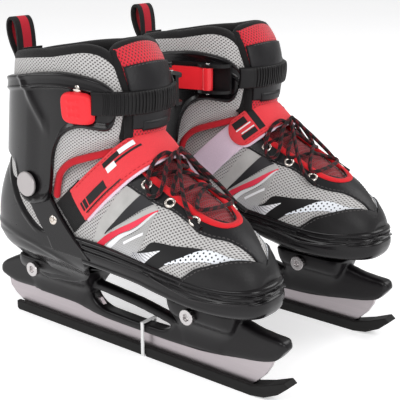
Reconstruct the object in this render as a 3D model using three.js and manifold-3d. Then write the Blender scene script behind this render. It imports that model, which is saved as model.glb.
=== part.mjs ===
// A pair of adjustable soft-boot ice skates, standing side by side on their blade guards.
// Millimetres. +X points to the toes, +Y away from the left skate's inner side, +Z up.
// The floor is z = 0 and the origin lies midway between the blades, at half the length.
// One skate is built in its own frame, with its blade in the plane y = 0 and its outer
// (buckle) side towards +y. The other skate is the same skate mirrored.
import * as THREE from 'three';
import { mergeVertices } from 'three/addons/utils/BufferGeometryUtils.js';
import { ParametricGeometry } from 'three/addons/geometries/ParametricGeometry.js';
import Module from 'manifold-3d';

const wasm = await Module();
wasm.setup();

// ---- driving dimensions ----
const pairSpacing = 148;        // between the two blades
const gap = 0.3;                // between touching pieces

const mountSpacing = 165;       // between the two frame bolts
const frontBoltX = 73;
const boltZ = 53.5;
const boltRadius = 3;
const boltHeadRadius = 6.2;
const boltHeadHeight = 4;
const nutSleeveRadius = 4.6;

const bladeThickness = 3.6;
const bladeFront = 139;
const bladeRear = -150;
const bladeBottom = 5;
const bladeTop = 35;            // inside the holder, at the ends
const bladeRidge = 25.5;        // inside the rail, under the window

const guardHalfWidth = 6.5;
const guardHeight = 8.5;
const guardRear = -136;
const guardTip = 155;
const tieX = 17;
const tieWidth = 2.8;
const tieThickness = 1.3;

const railHalfWidth = 6.6;      // lower rail of the blade holder
const frontTowerHalf = 17;
const rearTowerHalf = 21;
const holderTop = 61.5;
const holderTail = 8;           // behind the blade's rear end
const windowWidth = 54;         // see-through windows of the holder

const plateHalf = 20;           // mounting plate of the rear shell
const plateFront = 104;
const lugLength = 24;
const lugHalf = 9;
const lugDepth = 17;

const heelX = -131;             // soft boot, without the shells
const toeX = 137;
const footHalfWidth = 40;       // at the ball of the foot
const footBottom = 70;
const instepHeight = 187;
const footWall = 6;
const shellWall = 3.6;          // moulded shells around the soft boot
const shellFit = 0.4;
const shellTop = 100;
const toeShellTop = 93;
const shellSplit = -14;         // where the front and the rear shell meet
const footbedThickness = 4.4;
const footbedHalf = 21;

const pivotX = -70;             // cuff pivot
const pivotZ = 136;
const pivotRadius = 3.4;
const earRadius = 11;
const rivetCapRadius = 10;
const rivetCapHeight = 2.6;

const shaftHalfWidth = 42;      // soft collar at the cuff's height
const shaftRear = -107;
const shaftFront = 25;
const collarTop = 246;
const collarWall = 8;
const cuffTop = 224;
const cuffWall = 3.4;
const tongueHalf = 24;
const tongueTop = 252;
const flexBack = 6;             // backward travel of the cuff in degrees

const ladderHeight = 18;
const ladderZ = 208;
const ladderThickness = 3;
const anchorLength = 26;

const strapWidth = 25;          // strap over the instep
const strapThickness = 3;
const strapStart = [-19, 128];
const strapCrest = [33, 177];
const strapOverlap = 42;        // where the outer end of the strap stops on the receiver

const throatHalf = 15;
const throatFront = 104;
const laceDiameter = 3.2;
const laceSteps = 80;

const buckleX = -9;
const buckleTurn = -14;         // degrees about the upright axis
const buckleHalfHeight = 12;
const leverLength = 40;
const pinRadius = 1.8;

const loopX = -116;
const loopHeight = 36;
const loopGap = 7;
const loopHalfWidth = 9;
const webThickness = 2.2;

// ---- materials ----
const plasticBlack = { color: 0x252223, roughness: 0.45, metalness: 0 };
const plasticRed = { color: 0xd8262e, roughness: 0.4, metalness: 0 };
const fabricGrey = { color: 0xb2b0b1, roughness: 0.9, metalness: 0 };
const fabricBlack = { color: 0x1f1c1d, roughness: 0.9, metalness: 0 };
const webbingRed = { color: 0xf04a50, roughness: 0.8, metalness: 0 };
const webbingLilac = { color: 0xebcde1, roughness: 0.8, metalness: 0 };
const leatherBlack = { color: 0x302d31, roughness: 0.6, metalness: 0 };
const laceRed = { color: 0x7a1f28, roughness: 0.9, metalness: 0 };
const steel = { color: 0xa0999b, roughness: 0.3, metalness: 1 };
const tieWhite = { color: 0xe8e8e8, roughness: 0.5, metalness: 0 };

// ---- solids ----
function toSolid(geometry) {
  const bare = geometry.clone();
  bare.deleteAttribute('normal');
  bare.deleteAttribute('uv');
  const merged = mergeVertices(bare, 1e-4);
  const index = merged.index.array;
  const kept = [];
  for (let i = 0; i < index.length; i += 3) {
    const [a, b, c] = [index[i], index[i + 1], index[i + 2]];
    if (a !== b && b !== c && c !== a) kept.push(a, b, c);
  }
  return new wasm.Manifold(new wasm.Mesh({
    numProp: 3,
    vertProperties: new Float32Array(merged.attributes.position.array),
    triVerts: new Uint32Array(kept),
  }));
}

function toGeometry(solid) {
  const mesh = solid.getMesh();
  const geometry = new THREE.BufferGeometry();
  geometry.setAttribute('position', new THREE.BufferAttribute(mesh.vertProperties, 3));
  geometry.setIndex(new THREE.BufferAttribute(mesh.triVerts, 1));
  return geometry;
}

function shapeOf(points) {
  return new THREE.Shape(points.map(([a, b]) => new THREE.Vector2(a, b)));
}

// outline in x and z, extruded from y = low to y = high
function sidePlate(points, low, high) {
  const geometry = new THREE.ExtrudeGeometry(shapeOf(points), { depth: high - low, bevelEnabled: false });
  geometry.rotateX(Math.PI / 2);
  geometry.translate(0, high, 0);
  return toSolid(geometry);
}

// outline in y and z, extruded from x = low to x = high
function crossPlate(points, low, high) {
  const geometry = new THREE.ExtrudeGeometry(shapeOf(points), { depth: high - low, bevelEnabled: false });
  geometry.rotateX(Math.PI / 2);
  geometry.rotateZ(Math.PI / 2);
  geometry.translate(low, 0, 0);
  return toSolid(geometry);
}

function box(x0, x1, y0, y1, z0, z1) {
  const geometry = new THREE.BoxGeometry(x1 - x0, y1 - y0, z1 - z0);
  geometry.translate((x0 + x1) / 2, (y0 + y1) / 2, (z0 + z1) / 2);
  return toSolid(geometry);
}

// round bar along y
function barY(x, z, radius, y0, y1, sides = 16) {
  const geometry = new THREE.CylinderGeometry(radius, radius, y1 - y0, sides);
  geometry.translate(x, (y0 + y1) / 2, z);
  return toSolid(geometry);
}

// round bar along z
function barZ(x, y, radius, z0, z1, sides = 12) {
  const geometry = new THREE.CylinderGeometry(radius, radius, z1 - z0, sides);
  geometry.rotateX(Math.PI / 2);
  geometry.translate(x, y, (z0 + z1) / 2);
  return toSolid(geometry);
}

function arc(cx, cz, radius, from, to, steps) {
  const points = [];
  for (let i = 0; i <= steps; i++) {
    const angle = THREE.MathUtils.degToRad(from + (to - from) * i / steps);
    points.push([cx + radius * Math.cos(angle), cz + radius * Math.sin(angle)]);
  }
  return points;
}

// smooth value at a place between stations [place, value]: a cubic through each station
function along(stations, place) {
  const last = stations.length - 1;
  if (place <= stations[0][0]) return stations[0][1];
  if (place >= stations[last][0]) return stations[last][1];
  let i = 0;
  while (place > stations[i + 1][0]) i++;
  const slope = (j) => {
    const a = stations[Math.max(j - 1, 0)];
    const b = stations[Math.min(j + 1, last)];
    return (b[1] - a[1]) / (b[0] - a[0]);
  };
  const [x0, y0] = stations[i];
  const [x1, y1] = stations[i + 1];
  const span = x1 - x0;
  const t = (place - x0) / span;
  const h = t * t * (3 - 2 * t);
  return y0 + (y1 - y0) * h + span * t * (1 - t) * (slope(i) * (1 - t) - slope(i + 1) * t);
}

const signedPower = (value, power) => Math.sign(value) * Math.abs(value) ** power;

// ---- the two forms that every soft and moulded piece follows ----
// The foot form runs from heel to toe. Its height and half width are shares of the instep's
// height and of the ball's half width, at shares of the length.
const footHeights = [
  [0, 0.25], [0.05, 0.68], [0.15, 0.9], [0.34, 0.98], [0.507, 1], [0.563, 0.92], [0.623, 0.8],
  [0.668, 0.735], [0.713, 0.68], [0.8, 0.58], [0.907, 0.445], [0.951, 0.37], [0.985, 0.29], [1, 0.22],
];
const footWidths = [
  [0, 0.8], [0.15, 0.86], [0.35, 0.85], [0.5, 0.88], [0.62, 0.95], [0.76, 1], [0.88, 0.96], [1, 0.85],
];
const toeSweep = 5;             // the toes lie this much towards the inner side
const sectionMiddle = 0.45;     // height of the widest line, as a share

function endRound(share, power) {
  return Math.max(1 - Math.abs(2 * share - 1) ** power, 0) ** (1 / power);
}

function footForm(grow) {
  const length = toeX - heelX + 2 * grow;
  const full = instepHeight - footBottom;
  return toSolid(new ParametricGeometry((around, share, target) => {
    const eased = (1 - Math.cos(Math.PI * share)) / 2;
    const x = heelX - grow + length * eased;
    const width = footHalfWidth * along(footWidths, eased) + grow;
    const height = full * along(footHeights, eased);
    const half = width * endRound(eased, eased > 0.5 ? 3.2 : 5);
    const middle = footBottom + sectionMiddle * height;
    const up = (height * (1 - sectionMiddle) + grow) * endRound(eased, 8);
    const down = (height * sectionMiddle + grow) * endRound(eased, 16);
    const angle = 2 * Math.PI * (around % 1);
    const power = Math.sin(angle) > 0 ? 2 : 8;
    const side = signedPower(Math.cos(angle), 2 / power);
    const rise = signedPower(Math.sin(angle), 2 / power);
    target.set(x, half * side - toeSweep * eased ** 3, middle + (rise > 0 ? up : down) * rise);
  }, 18, 16));
}

// The shaft form stands around the ankle. Its rear, front and half width at each height are
// offsets from those at the cuff's height.
const shaftRears = [[110, -16], [150, -10], [190, -4], [215, 0], [270, 6]];
const shaftFronts = [[110, -17], [150, -10], [190, -3], [215, 0], [270, -17]];
const shaftHalves = [[110, -3], [150, -2.8], [190, -1], [215, 0], [270, -1]];
const shaftPower = 2.5;
const shaftLevels = [110, 110, 136, 163, 190, 215, 242, 270, 270];

function shaftForm(grow) {
  const last = shaftLevels.length - 1;
  return toSolid(new ParametricGeometry((around, share, target) => {
    const level = Math.round(share * last);
    const z = shaftLevels[level];
    const rear = shaftRear + along(shaftRears, z) - grow;
    const front = shaftFront + along(shaftFronts, z) + grow;
    const closed = level === 0 || level === last ? 0 : 1;
    const angle = 2 * Math.PI * (around % 1);
    const alongX = signedPower(Math.cos(angle), 2 / shaftPower) * (front - rear) / 2 * closed;
    const half = shaftHalfWidth + along(shaftHalves, z) + grow;
    target.set((front + rear) / 2 + alongX, signedPower(Math.sin(angle), 2 / shaftPower) * half * closed, z);
  }, 24, last));
}

// y of the shaft form's outer side at x and z
function shaftSide(x, z, grow) {
  const rear = shaftRear + along(shaftRears, z) - grow;
  const front = shaftFront + along(shaftFronts, z) + grow;
  const share = Math.abs(2 * (x - (front + rear) / 2) / (front - rear));
  return (shaftHalfWidth + along(shaftHalves, z) + grow) * (1 - share ** shaftPower) ** (1 / shaftPower);
}

const footShell = (outer, inner) => footForm(outer).subtract(footForm(inner));
const shaftShell = (outer, inner) => shaftForm(outer).subtract(shaftForm(inner));

// ---- shared places ----
const far = 90;                 // beyond every side of one skate
const rearBoltX = frontBoltX - mountSpacing;
const plateTop = footBottom - shellFit - shellWall;
const plateBottom = holderTop + gap;
const shellOut = shellWall + shellFit;
const cuffIn = 0.6;
const cuffOut = cuffIn + cuffWall;
const onCuff = cuffOut + gap + 0.1;
const flexRise = Math.tan(THREE.MathUtils.degToRad(flexBack));

// line between the front boot and the cuff's soft pieces, in x and z
const partLow = [-14, 139];
const partHigh = [20, 188];
function partLine(offset) {
  const length = Math.hypot(partHigh[0] - partLow[0], partHigh[1] - partLow[1]);
  const nx = -(partHigh[1] - partLow[1]) / length * offset;
  const nz = (partHigh[0] - partLow[0]) / length * offset;
  return [[partLow[0] + nx, partLow[1] + nz], [partHigh[0] + nx, partHigh[1] + nz]];
}

// ---- frame: blade, holder, guard, bolts ----
const windowMiddle = 7;
const windowLeft = windowMiddle - windowWidth / 2;
const windowRight = windowMiddle + windowWidth / 2;
const railTop = 28;
const bridgeLow = 41;
const bridgeHigh = 45.5;

// upper edge of the blade, which the holder's slot follows at a clearance
function bladeCrown(clear) {
  return [
    [bladeFront + clear, bladeTop + clear], [windowRight + 16, bladeTop + clear],
    [windowRight + 7, bladeRidge + clear], [windowLeft - 7, bladeRidge + clear],
    [windowLeft - 16, bladeTop + clear], [bladeRear - clear, bladeTop + clear],
  ];
}

function makeBlade() {
  const outline = [
    ...bladeCrown(0), [bladeRear, 28], [bladeRear + 2, 19], [bladeRear + 9, 13],
    [bladeRear + 19, 8], [bladeRear + 29, bladeBottom],
    [bladeFront - 23, bladeBottom], [bladeFront - 15, 10], [bladeFront - 7, 18],
    [bladeFront - 2, 26], [bladeFront, 33],
  ];
  return sidePlate(outline, -bladeThickness / 2, bladeThickness / 2);
}

function makeHolder() {
  const top = holderTop;
  const outline = [
    [bladeRear - holderTail, 33], [bladeRear - 7, 29], [bladeRear + 1, 30], [bladeRear + 14, 25], [-84, 27],
    [-36, 21], [18, 20], [71, 20], [109, 25], [bladeFront + 2, 32], [bladeFront + 13, 44],
    [bladeFront + 11, 49], [bladeFront - 3, 51], [bladeFront - 15, 52.5], [bladeFront - 23, 56],
    [bladeFront - 29, top], [windowRight + 13, top], [windowRight + 4, 55], [windowRight - 7, bridgeHigh],
    [windowLeft + 6, bridgeHigh], [windowLeft - 4, 57], [windowLeft - 8, top],
    [rearBoltX - 26, top], [bladeRear + 14, 51], [bladeRear - 3, 41],
  ];
  const window = [
    [windowLeft, railTop], [windowRight - 2, railTop], [windowRight - 9, bridgeLow - 4],
    [windowRight - 17, bridgeLow], [windowLeft + 12, bridgeLow], [windowLeft + 4, bridgeLow - 3],
  ];
  const tower = (x0, x1, half) => crossPlate(
    [[-railHalfWidth, 40], [railHalfWidth, 40], [half, 49], [half, top], [-half, top], [-half, 49]], x0, x1,
  );
  const frontTower = tower(windowRight + 13, bladeFront - 29, frontTowerHalf);
  const rearTower = tower(rearBoltX - 26, windowLeft - 14, rearTowerHalf);
  const side = gap + bladeThickness / 2;
  const slot = sidePlate([...bladeCrown(gap), [bladeRear - gap, 0], [bladeFront + gap, 0]], -side, side);
  const pocketHalf = lugLength / 2 + gap;
  const pocketWide = lugHalf + gap;
  const pocket = (x) => box(
    x - pocketHalf, x + pocketHalf, -pocketWide, pocketWide, top - lugDepth - gap, top + 1,
  );
  let holder = sidePlate(outline, -railHalfWidth, railHalfWidth)
    .subtract(sidePlate(window, -far, far)).add(frontTower).add(rearTower)
    .subtract(slot);
  for (const x of [frontBoltX, rearBoltX]) {
    holder = holder.subtract(pocket(x))
      .subtract(barY(x, boltZ, boltRadius + gap, -far, lugHalf + 2 * gap))
      .subtract(barY(x, boltZ, nutSleeveRadius + gap, lugHalf, far));
  }
  return holder;
}

function makeGuard() {
  const outline = [
    [guardRear, 1.5], [guardRear + 2, 0], [guardTip - 33, 0], [guardTip - 21, 2], [guardTip - 9, 8],
    [guardTip, 16], [guardTip - 4, 19], [guardTip - 18, 13], [guardTip - 32, guardHeight],
    [guardRear, guardHeight],
  ];
  const side = gap + bladeThickness / 2;
  const groove = box(guardRear - 1, bladeFront - 16, -side, side, bladeBottom - gap, guardHeight + 1);
  const notch = box(tieX - tieWidth / 2 - 0.5, tieX + tieWidth / 2 + 0.5, -far, far, -1, tieThickness + 0.5);
  return sidePlate(outline, -guardHalfWidth, guardHalfWidth).subtract(groove).subtract(notch);
}

function makeTie() {
  const inner = railHalfWidth + 0.5;
  const outer = inner + tieThickness;
  const low = 0.15;
  const ring = (half, z0, z1) => [[-half, z0], [half, z0], [half, z1], [-half, z1]];
  const x0 = tieX - tieWidth / 2;
  const inside = crossPlate(ring(inner, low + tieThickness, railTop + 0.5), x0 - 1, x0 + tieWidth + 1);
  return crossPlate(ring(outer, low, railTop + 0.5 + tieThickness), x0, x0 + tieWidth).subtract(inside);
}

function makeBolt(x, half) {
  const head = barY(x, boltZ, boltHeadRadius, -half - gap - boltHeadHeight, -half - gap, 24);
  const socket = barY(x, boltZ, 3, -half - gap - boltHeadHeight - 1, -half - boltHeadHeight + 2, 6);
  return head.subtract(socket).add(barY(x, boltZ, boltRadius, -half - gap - 1, lugHalf));
}

function makeNut(x, half) {
  const head = barY(x, boltZ, boltHeadRadius, half + gap, half + gap + boltHeadHeight, 24);
  const socket = barY(x, boltZ, 3, half + boltHeadHeight - 2, half + gap + boltHeadHeight + 1, 6);
  return head.subtract(socket).add(barY(x, boltZ, nutSleeveRadius, lugHalf + 1.2, half + gap + 1));
}

// ---- shells and soft boot ----
function makeBaseShell() {
  const ear = arc(pivotX, pivotZ, earRadius, 15, 165, 8);
  const outline = [
    [heelX - 12, plateTop - 1], [shellSplit - gap, plateTop - 1], [shellSplit - gap, shellTop],
    [pivotX + 24, shellTop + 2], ...ear, [pivotX - 20, shellTop + 12], [pivotX - 30, shellTop + 8],
    [heelX + 18, shellTop + 22], [heelX + 10, pivotZ], [heelX - 12, pivotZ],
  ];
  const plan = (x0, x1, z0, z1) => box(x0, x1, -plateHalf, plateHalf, z0, z1);
  const lug = (x) => box(
    x - lugLength / 2, x + lugLength / 2, -lugHalf, lugHalf, holderTop - lugDepth, plateTop - 1,
  );
  return footShell(shellOut, shellFit).intersect(sidePlate(outline, -far, far))
    .add(plan(heelX + 12, shellSplit - 2, plateBottom, plateTop + 1))
    .add(plan(shellSplit - 3, plateFront, plateBottom, plateTop - gap))
    .add(lug(frontBoltX)).add(lug(rearBoltX))
    .subtract(barY(frontBoltX, boltZ, boltRadius + gap, -far, far))
    .subtract(barY(rearBoltX, boltZ, boltRadius + gap, -far, far))
    .subtract(barY(pivotX, pivotZ, pivotRadius, -far, far));
}

function makeFrontSole() {
  const outline = [
    [shellSplit + gap, 0], [toeX + 12, 0], [toeX + 12, toeShellTop + 3], [toeX - 12, toeShellTop - 2],
    [toeX - 75, toeShellTop], [shellSplit + gap, shellTop],
  ];
  return footShell(shellOut, shellFit).intersect(sidePlate(outline, -far, far));
}

function makeBootLower() {
  const top = pivotZ + 7;
  const drop = (x) => top - Math.abs(x - pivotX) * flexRise;
  const rear = heelX - 10;
  const front = shellSplit - 1;
  const outline = [[rear, 0], [front, 0], [front, drop(front)], [pivotX, top], [rear, drop(rear)]];
  return footShell(0, -footWall).intersect(sidePlate(outline, -far, far));
}

function makeVamp() {
  const [low, high] = partLine(-2);
  const rear = shellSplit + gap;
  const outline = [[rear, 0], [toeX + 10, 0], [toeX + 10, high[1]], high, low, [rear, low[1] - 5]];
  const throat = box(shellSplit - 5, throatFront, -throatHalf, throatHalf, shellTop, far * 3);
  return footShell(0, -footWall).intersect(sidePlate(outline, -far, far)).subtract(throat);
}

function makeTongueLower() {
  const [low, high] = partLine(-2);
  const half = throatHalf - gap;
  const bottom = shellTop + gap;
  const front = throatFront - gap;
  const outline = [[low[0] + 6, bottom], [front, bottom], [front, high[1]], high, low];
  return footShell(-0.5, -footWall).intersect(sidePlate(outline, -half, half));
}

function makeFootbed() {
  const z0 = footBottom + footWall + 2;
  const nose = 20;
  const heel = heelX + 22;
  const tip = toeX - 24;
  const plan = new THREE.Shape();
  plan.moveTo(heel + nose, -footbedHalf);
  plan.lineTo(tip - nose, -footbedHalf);
  plan.quadraticCurveTo(tip, -footbedHalf, tip, -4);
  plan.quadraticCurveTo(tip, footbedHalf - 4, tip - 12 - nose, footbedHalf - 3);
  plan.lineTo(heel + nose, footbedHalf);
  plan.quadraticCurveTo(heel, footbedHalf, heel, 0);
  plan.quadraticCurveTo(heel, -footbedHalf, heel + nose, -footbedHalf);
  const options = { depth: footbedThickness, bevelEnabled: false, curveSegments: 6 };
  const geometry = new THREE.ExtrudeGeometry(plan, options);
  geometry.translate(0, 0, z0);
  return toSolid(geometry);
}

// ---- cuff and what it carries ----
function makeCuff() {
  const lobe = arc(pivotX, pivotZ, earRadius + 5, -15, -165, 8);
  const outline = [
    [shaftRear - 20, cuffTop - 11], [shaftRear + 38, cuffTop - 2], [shaftFront - 55, cuffTop + 2],
    [shaftFront - 20, cuffTop], [shaftFront - 4, cuffTop - 5], [shaftFront - 1, cuffTop - 12],
    [shaftFront - 9, cuffTop - 28], [shaftFront - 31, cuffTop - 34], [shaftFront - 55, cuffTop - 49],
    [pivotX + 23, pivotZ + 16], ...lobe, [pivotX - 22, pivotZ + 15], [shaftRear - 20, pivotZ + 24],
  ];
  return shaftShell(cuffOut, cuffIn).intersect(sidePlate(outline, -far, far))
    .subtract(barY(pivotX, pivotZ, pivotRadius, -far, far));
}

function makeRivet(side) {
  const seat = shaftSide(pivotX, pivotZ, cuffOut) + 2 * gap;
  const inner = footHalfWidth * along(footWidths, (pivotX - heelX) / (toeX - heelX)) + 2 * gap;
  const [y0, y1] = side > 0 ? [inner, seat + 1] : [-seat - 1, -inner];
  const [c0, c1] = side > 0 ? [seat, seat + rivetCapHeight] : [-seat - rivetCapHeight, -seat];
  const shank = barY(pivotX, pivotZ, pivotRadius - gap, y0, y1);
  return barY(pivotX, pivotZ, rivetCapRadius, c0, c1, 24).add(shank);
}

function makeCollar() {
  const [low, high] = partLine(8);
  const bottom = pivotZ + 12.5;
  const rise = (x) => bottom + Math.abs(x - pivotX) * flexRise;
  const rear = shaftRear - 20;
  const outline = [
    [rear, rise(rear)], [pivotX, bottom], [low[0] + 6, rise(low[0] + 6)], high, [high[0] + 5, high[1]],
    [shaftFront - 8, collarTop - 14], [shaftFront - 18, collarTop - 2], [shaftFront - 45, collarTop],
    [shaftRear + 43, collarTop - 6], [shaftRear + 5, collarTop - 14], [rear, collarTop - 18],
  ];
  const slot = box(shaftFront - 40, shaftFront + 20, -tongueHalf - gap, tongueHalf + gap, 0, far * 3);
  return shaftShell(0, -collarWall).intersect(sidePlate(outline, -far, far)).subtract(slot);
}

function makeTongueTop() {
  const z0 = ladderZ - ladderHeight / 2 - 3;
  const outline = [
    [shaftFront - 30, z0], [shaftFront + 10, z0], [shaftFront + 10, tongueTop - 4],
    [shaftFront - 12, tongueTop], [shaftFront - 30, tongueTop],
  ];
  return shaftShell(0, -collarWall - 1).intersect(sidePlate(outline, -tongueHalf, tongueHalf));
}

const anchorEnd = shaftFront - 21;

function makeLadderStrap() {
  const z0 = ladderZ - ladderHeight / 2;
  const z1 = z0 + ladderHeight;
  const band = box(anchorEnd + 0.5, far, -far, 0.1, z0, z1).add(box(buckleX + 27, far, 0, far, z0, z1));
  return shaftShell(onCuff + ladderThickness, onCuff).intersect(band);
}

function makeStrapAnchor() {
  const low = ladderZ - ladderHeight / 2 - 5;
  return shaftShell(onCuff + ladderThickness + 1, onCuff)
    .intersect(box(anchorEnd - anchorLength, anchorEnd, -far, 0, low, low + 22));
}

// The buckle is built on its own axes: u backwards to forwards, v outwards, w up.
function placeBuckle(solid) {
  const geometry = toGeometry(solid);
  geometry.rotateZ(THREE.MathUtils.degToRad(buckleTurn));
  geometry.translate(buckleX, shaftSide(buckleX, cuffTop - 10, cuffOut) + gap, ladderZ);
  return toSolid(geometry);
}

const pinU = 6;
const pinV = 8.8;
const cheek = 2.4;

function makeBuckleBase() {
  const h = buckleHalfHeight;
  const cheekOutline = new THREE.Shape();
  cheekOutline.moveTo(-6, 3);
  cheekOutline.lineTo(24, 3);
  cheekOutline.quadraticCurveTo(22, 11, 12, 12.5);
  cheekOutline.lineTo(2, 12.5);
  cheekOutline.quadraticCurveTo(-4, 10, -6, 3);
  let base = box(-30, 24, 0.4, 3.4, -h, h);
  const options = { depth: cheek, bevelEnabled: false, curveSegments: 5 };
  for (const w of [-h, h - cheek]) {
    const geometry = new THREE.ExtrudeGeometry(cheekOutline, options);
    geometry.translate(0, 0, w);
    base = base.add(toSolid(geometry));
  }
  return placeBuckle(base.subtract(barZ(pinU, pinV, pinRadius + gap, -far, far)));
}

function makeLever() {
  const half = buckleHalfHeight - cheek - gap;
  const hub = barZ(pinU, pinV, 4.4, -half, half, 16);
  const arm = box(-leverLength + 14, pinU, pinV - 1.6, pinV + 2.4, -half, half);
  const tip = box(pinU - leverLength, -leverLength + 15, pinV - 2.4, pinV + 1.2, -half + 2.5, half - 2.5);
  return placeBuckle(hub.add(arm).add(tip).subtract(barZ(pinU, pinV, pinRadius + gap, -far, far)));
}

function makeBucklePin() {
  return placeBuckle(barZ(pinU, pinV, pinRadius, -buckleHalfHeight - 1, buckleHalfHeight + 1));
}

function makePullLoop() {
  const z0 = collarTop - 22;
  const half = loopGap / 2 + webThickness;
  const lean = -4;
  const bend = (radius) => arc(loopX + lean, z0 + loopHeight - half, radius, 0, 180, 8);
  const outer = [[loopX - half, z0], [loopX + half, z0], ...bend(half)];
  const inner = [[loopX - loopGap / 2, z0 - 1], [loopX + loopGap / 2, z0 - 1], ...bend(loopGap / 2)];
  return sidePlate(outer, -loopHalfWidth, loopHalfWidth).subtract(sidePlate(inner, -far, far));
}

// ---- strap over the instep ----
// The strap is the part of a thin skin around the foot form that lies in one slanted band.
// Places along the band are counted from its lower end, strapStart.
const strapRun = Math.hypot(strapCrest[0] - strapStart[0], strapCrest[1] - strapStart[1]);
const strapAlong = [(strapCrest[0] - strapStart[0]) / strapRun, (strapCrest[1] - strapStart[1]) / strapRun];

function strapBand(from, to, y0, y1) {
  const [ax, az] = strapAlong;
  const corner = (s, across) => [strapStart[0] + ax * s - az * across, strapStart[1] + az * s + ax * across];
  const half = strapWidth / 2;
  const outline = [corner(from, -half), corner(to, -half), corner(to, half), corner(from, half)];
  return sidePlate(outline, y0, y1);
}

const strapSkin = () => footShell(0.8 + strapThickness, 0.8);
const aboveShells = () => box(-far * 2, far * 2, -far, far, shellTop + 3, far * 3);

function makePowerStrap() {
  const band = strapBand(0.4, 110, -far, 0.1).add(strapBand(strapOverlap + 0.4, 110, 0, far));
  return strapSkin().intersect(band).intersect(aboveShells());
}

function makeReceiver() {
  return strapSkin().intersect(strapBand(-16, strapOverlap - 0.4, 0, far)).intersect(aboveShells());
}

function makeStrapWeb() {
  return strapSkin().intersect(strapBand(-19, -0.4, -far, 0)).intersect(aboveShells());
}

// ---- laces ----
// One lace, from the tip of one end over the bow, down and up through the eyelets, to the
// other tip. The bow on the outer side mirrors the one on the inner side.
const laceBow = [
  [92, -27, 128], [83, -26, 133], [73, -22, 144], [62, -13, 158], [50, -3, 172], [50, -13, 166],
  [54, -23, 153], [54, -29, 146], [49, -32, 145], [43, -28, 153], [41, -18, 166], [44, -9, 172],
  [46, -3, 169], [44, -8, 165], [40, -14, 164], [37, -19, 162],
];
const laceCross = [
  [40, -22, 157], [44, -16, 158], [52, 0, 157], [58, 16, 150], [62, 21, 145], [66, 15, 145],
  [72, 0, 146], [79, -15, 141], [84, -19, 139], [88, -12, 138], [88, 12, 136], [84, 19, 136],
  [79, 15, 140], [72, 0, 151], [66, -15, 148], [62, -21, 146], [58, -16, 151], [52, 0, 161],
  [44, 16, 156], [40, 22, 154],
];

function makeLaces() {
  const mirrored = laceBow.map(([x, y, z]) => [x, -y, z]).reverse();
  const route = [...laceBow, ...laceCross, ...mirrored].map((point) => new THREE.Vector3(...point));
  const section = new THREE.Shape();
  section.absarc(0, 0, laceDiameter / 2, 0, 2 * Math.PI);
  const extrudePath = new THREE.CatmullRomCurve3(route);
  return toSolid(new THREE.ExtrudeGeometry(section, { steps: laceSteps, extrudePath, curveSegments: 4 }));
}

// ---- assembly ----
function addPiece(group, side, name, solid, finish) {
  const geometry = toGeometry(solid);
  if (side === 'right') {
    geometry.scale(1, -1, 1);
    const index = geometry.index.array;
    for (let i = 0; i < index.length; i += 3) [index[i], index[i + 1]] = [index[i + 1], index[i]];
  }
  const mesh = new THREE.Mesh(geometry, new THREE.MeshStandardMaterial(finish));
  mesh.name = `${side}_${name}`;
  group.add(mesh);
}

function makeSkate(side) {
  const skate = new THREE.Group();
  const add = (name, solid, finish) => addPiece(skate, side, name, solid, finish);
  add('blade', makeBlade(), steel);
  add('blade_holder', makeHolder(), plasticBlack);
  add('blade_guard', makeGuard(), plasticBlack);
  add('cable_tie', makeTie(), tieWhite);
  add('front_bolt', makeBolt(frontBoltX, frontTowerHalf), steel);
  add('front_nut', makeNut(frontBoltX, frontTowerHalf), steel);
  add('rear_bolt', makeBolt(rearBoltX, rearTowerHalf), steel);
  add('rear_nut', makeNut(rearBoltX, rearTowerHalf), steel);
  add('base_shell', makeBaseShell(), plasticBlack);
  add('front_sole', makeFrontSole(), plasticBlack);
  add('boot_lower', makeBootLower(), fabricGrey);
  add('vamp', makeVamp(), fabricGrey);
  add('tongue_lower', makeTongueLower(), fabricBlack);
  add('footbed', makeFootbed(), fabricBlack);
  add('cuff', makeCuff(), plasticBlack);
  add('cuff_rivet_inner', makeRivet(-1), steel);
  add('cuff_rivet_outer', makeRivet(1), steel);
  add('collar', makeCollar(), fabricGrey);
  add('tongue_top', makeTongueTop(), leatherBlack);
  add('ladder_strap', makeLadderStrap(), plasticBlack);
  add('strap_anchor', makeStrapAnchor(), plasticRed);
  add('buckle_base', makeBuckleBase(), plasticBlack);
  add('buckle_pin', makeBucklePin(), steel);
  add('buckle_lever', makeLever(), plasticRed);
  add('pull_loop', makePullLoop(), webbingRed);
  add('power_strap', makePowerStrap(), webbingRed);
  add('strap_receiver', makeReceiver(), webbingLilac);
  add('strap_web', makeStrapWeb(), fabricBlack);
  add('laces', makeLaces(), laceRed);
  skate.position.x = -(bladeRear - holderTail + guardTip) / 2;
  skate.position.y = (side === 'left' ? -1 : 1) * pairSpacing / 2;
  return skate;
}

const pair = new THREE.Group();
pair.add(makeSkate('left'), makeSkate('right'));

export default pair;
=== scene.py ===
import math

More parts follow.
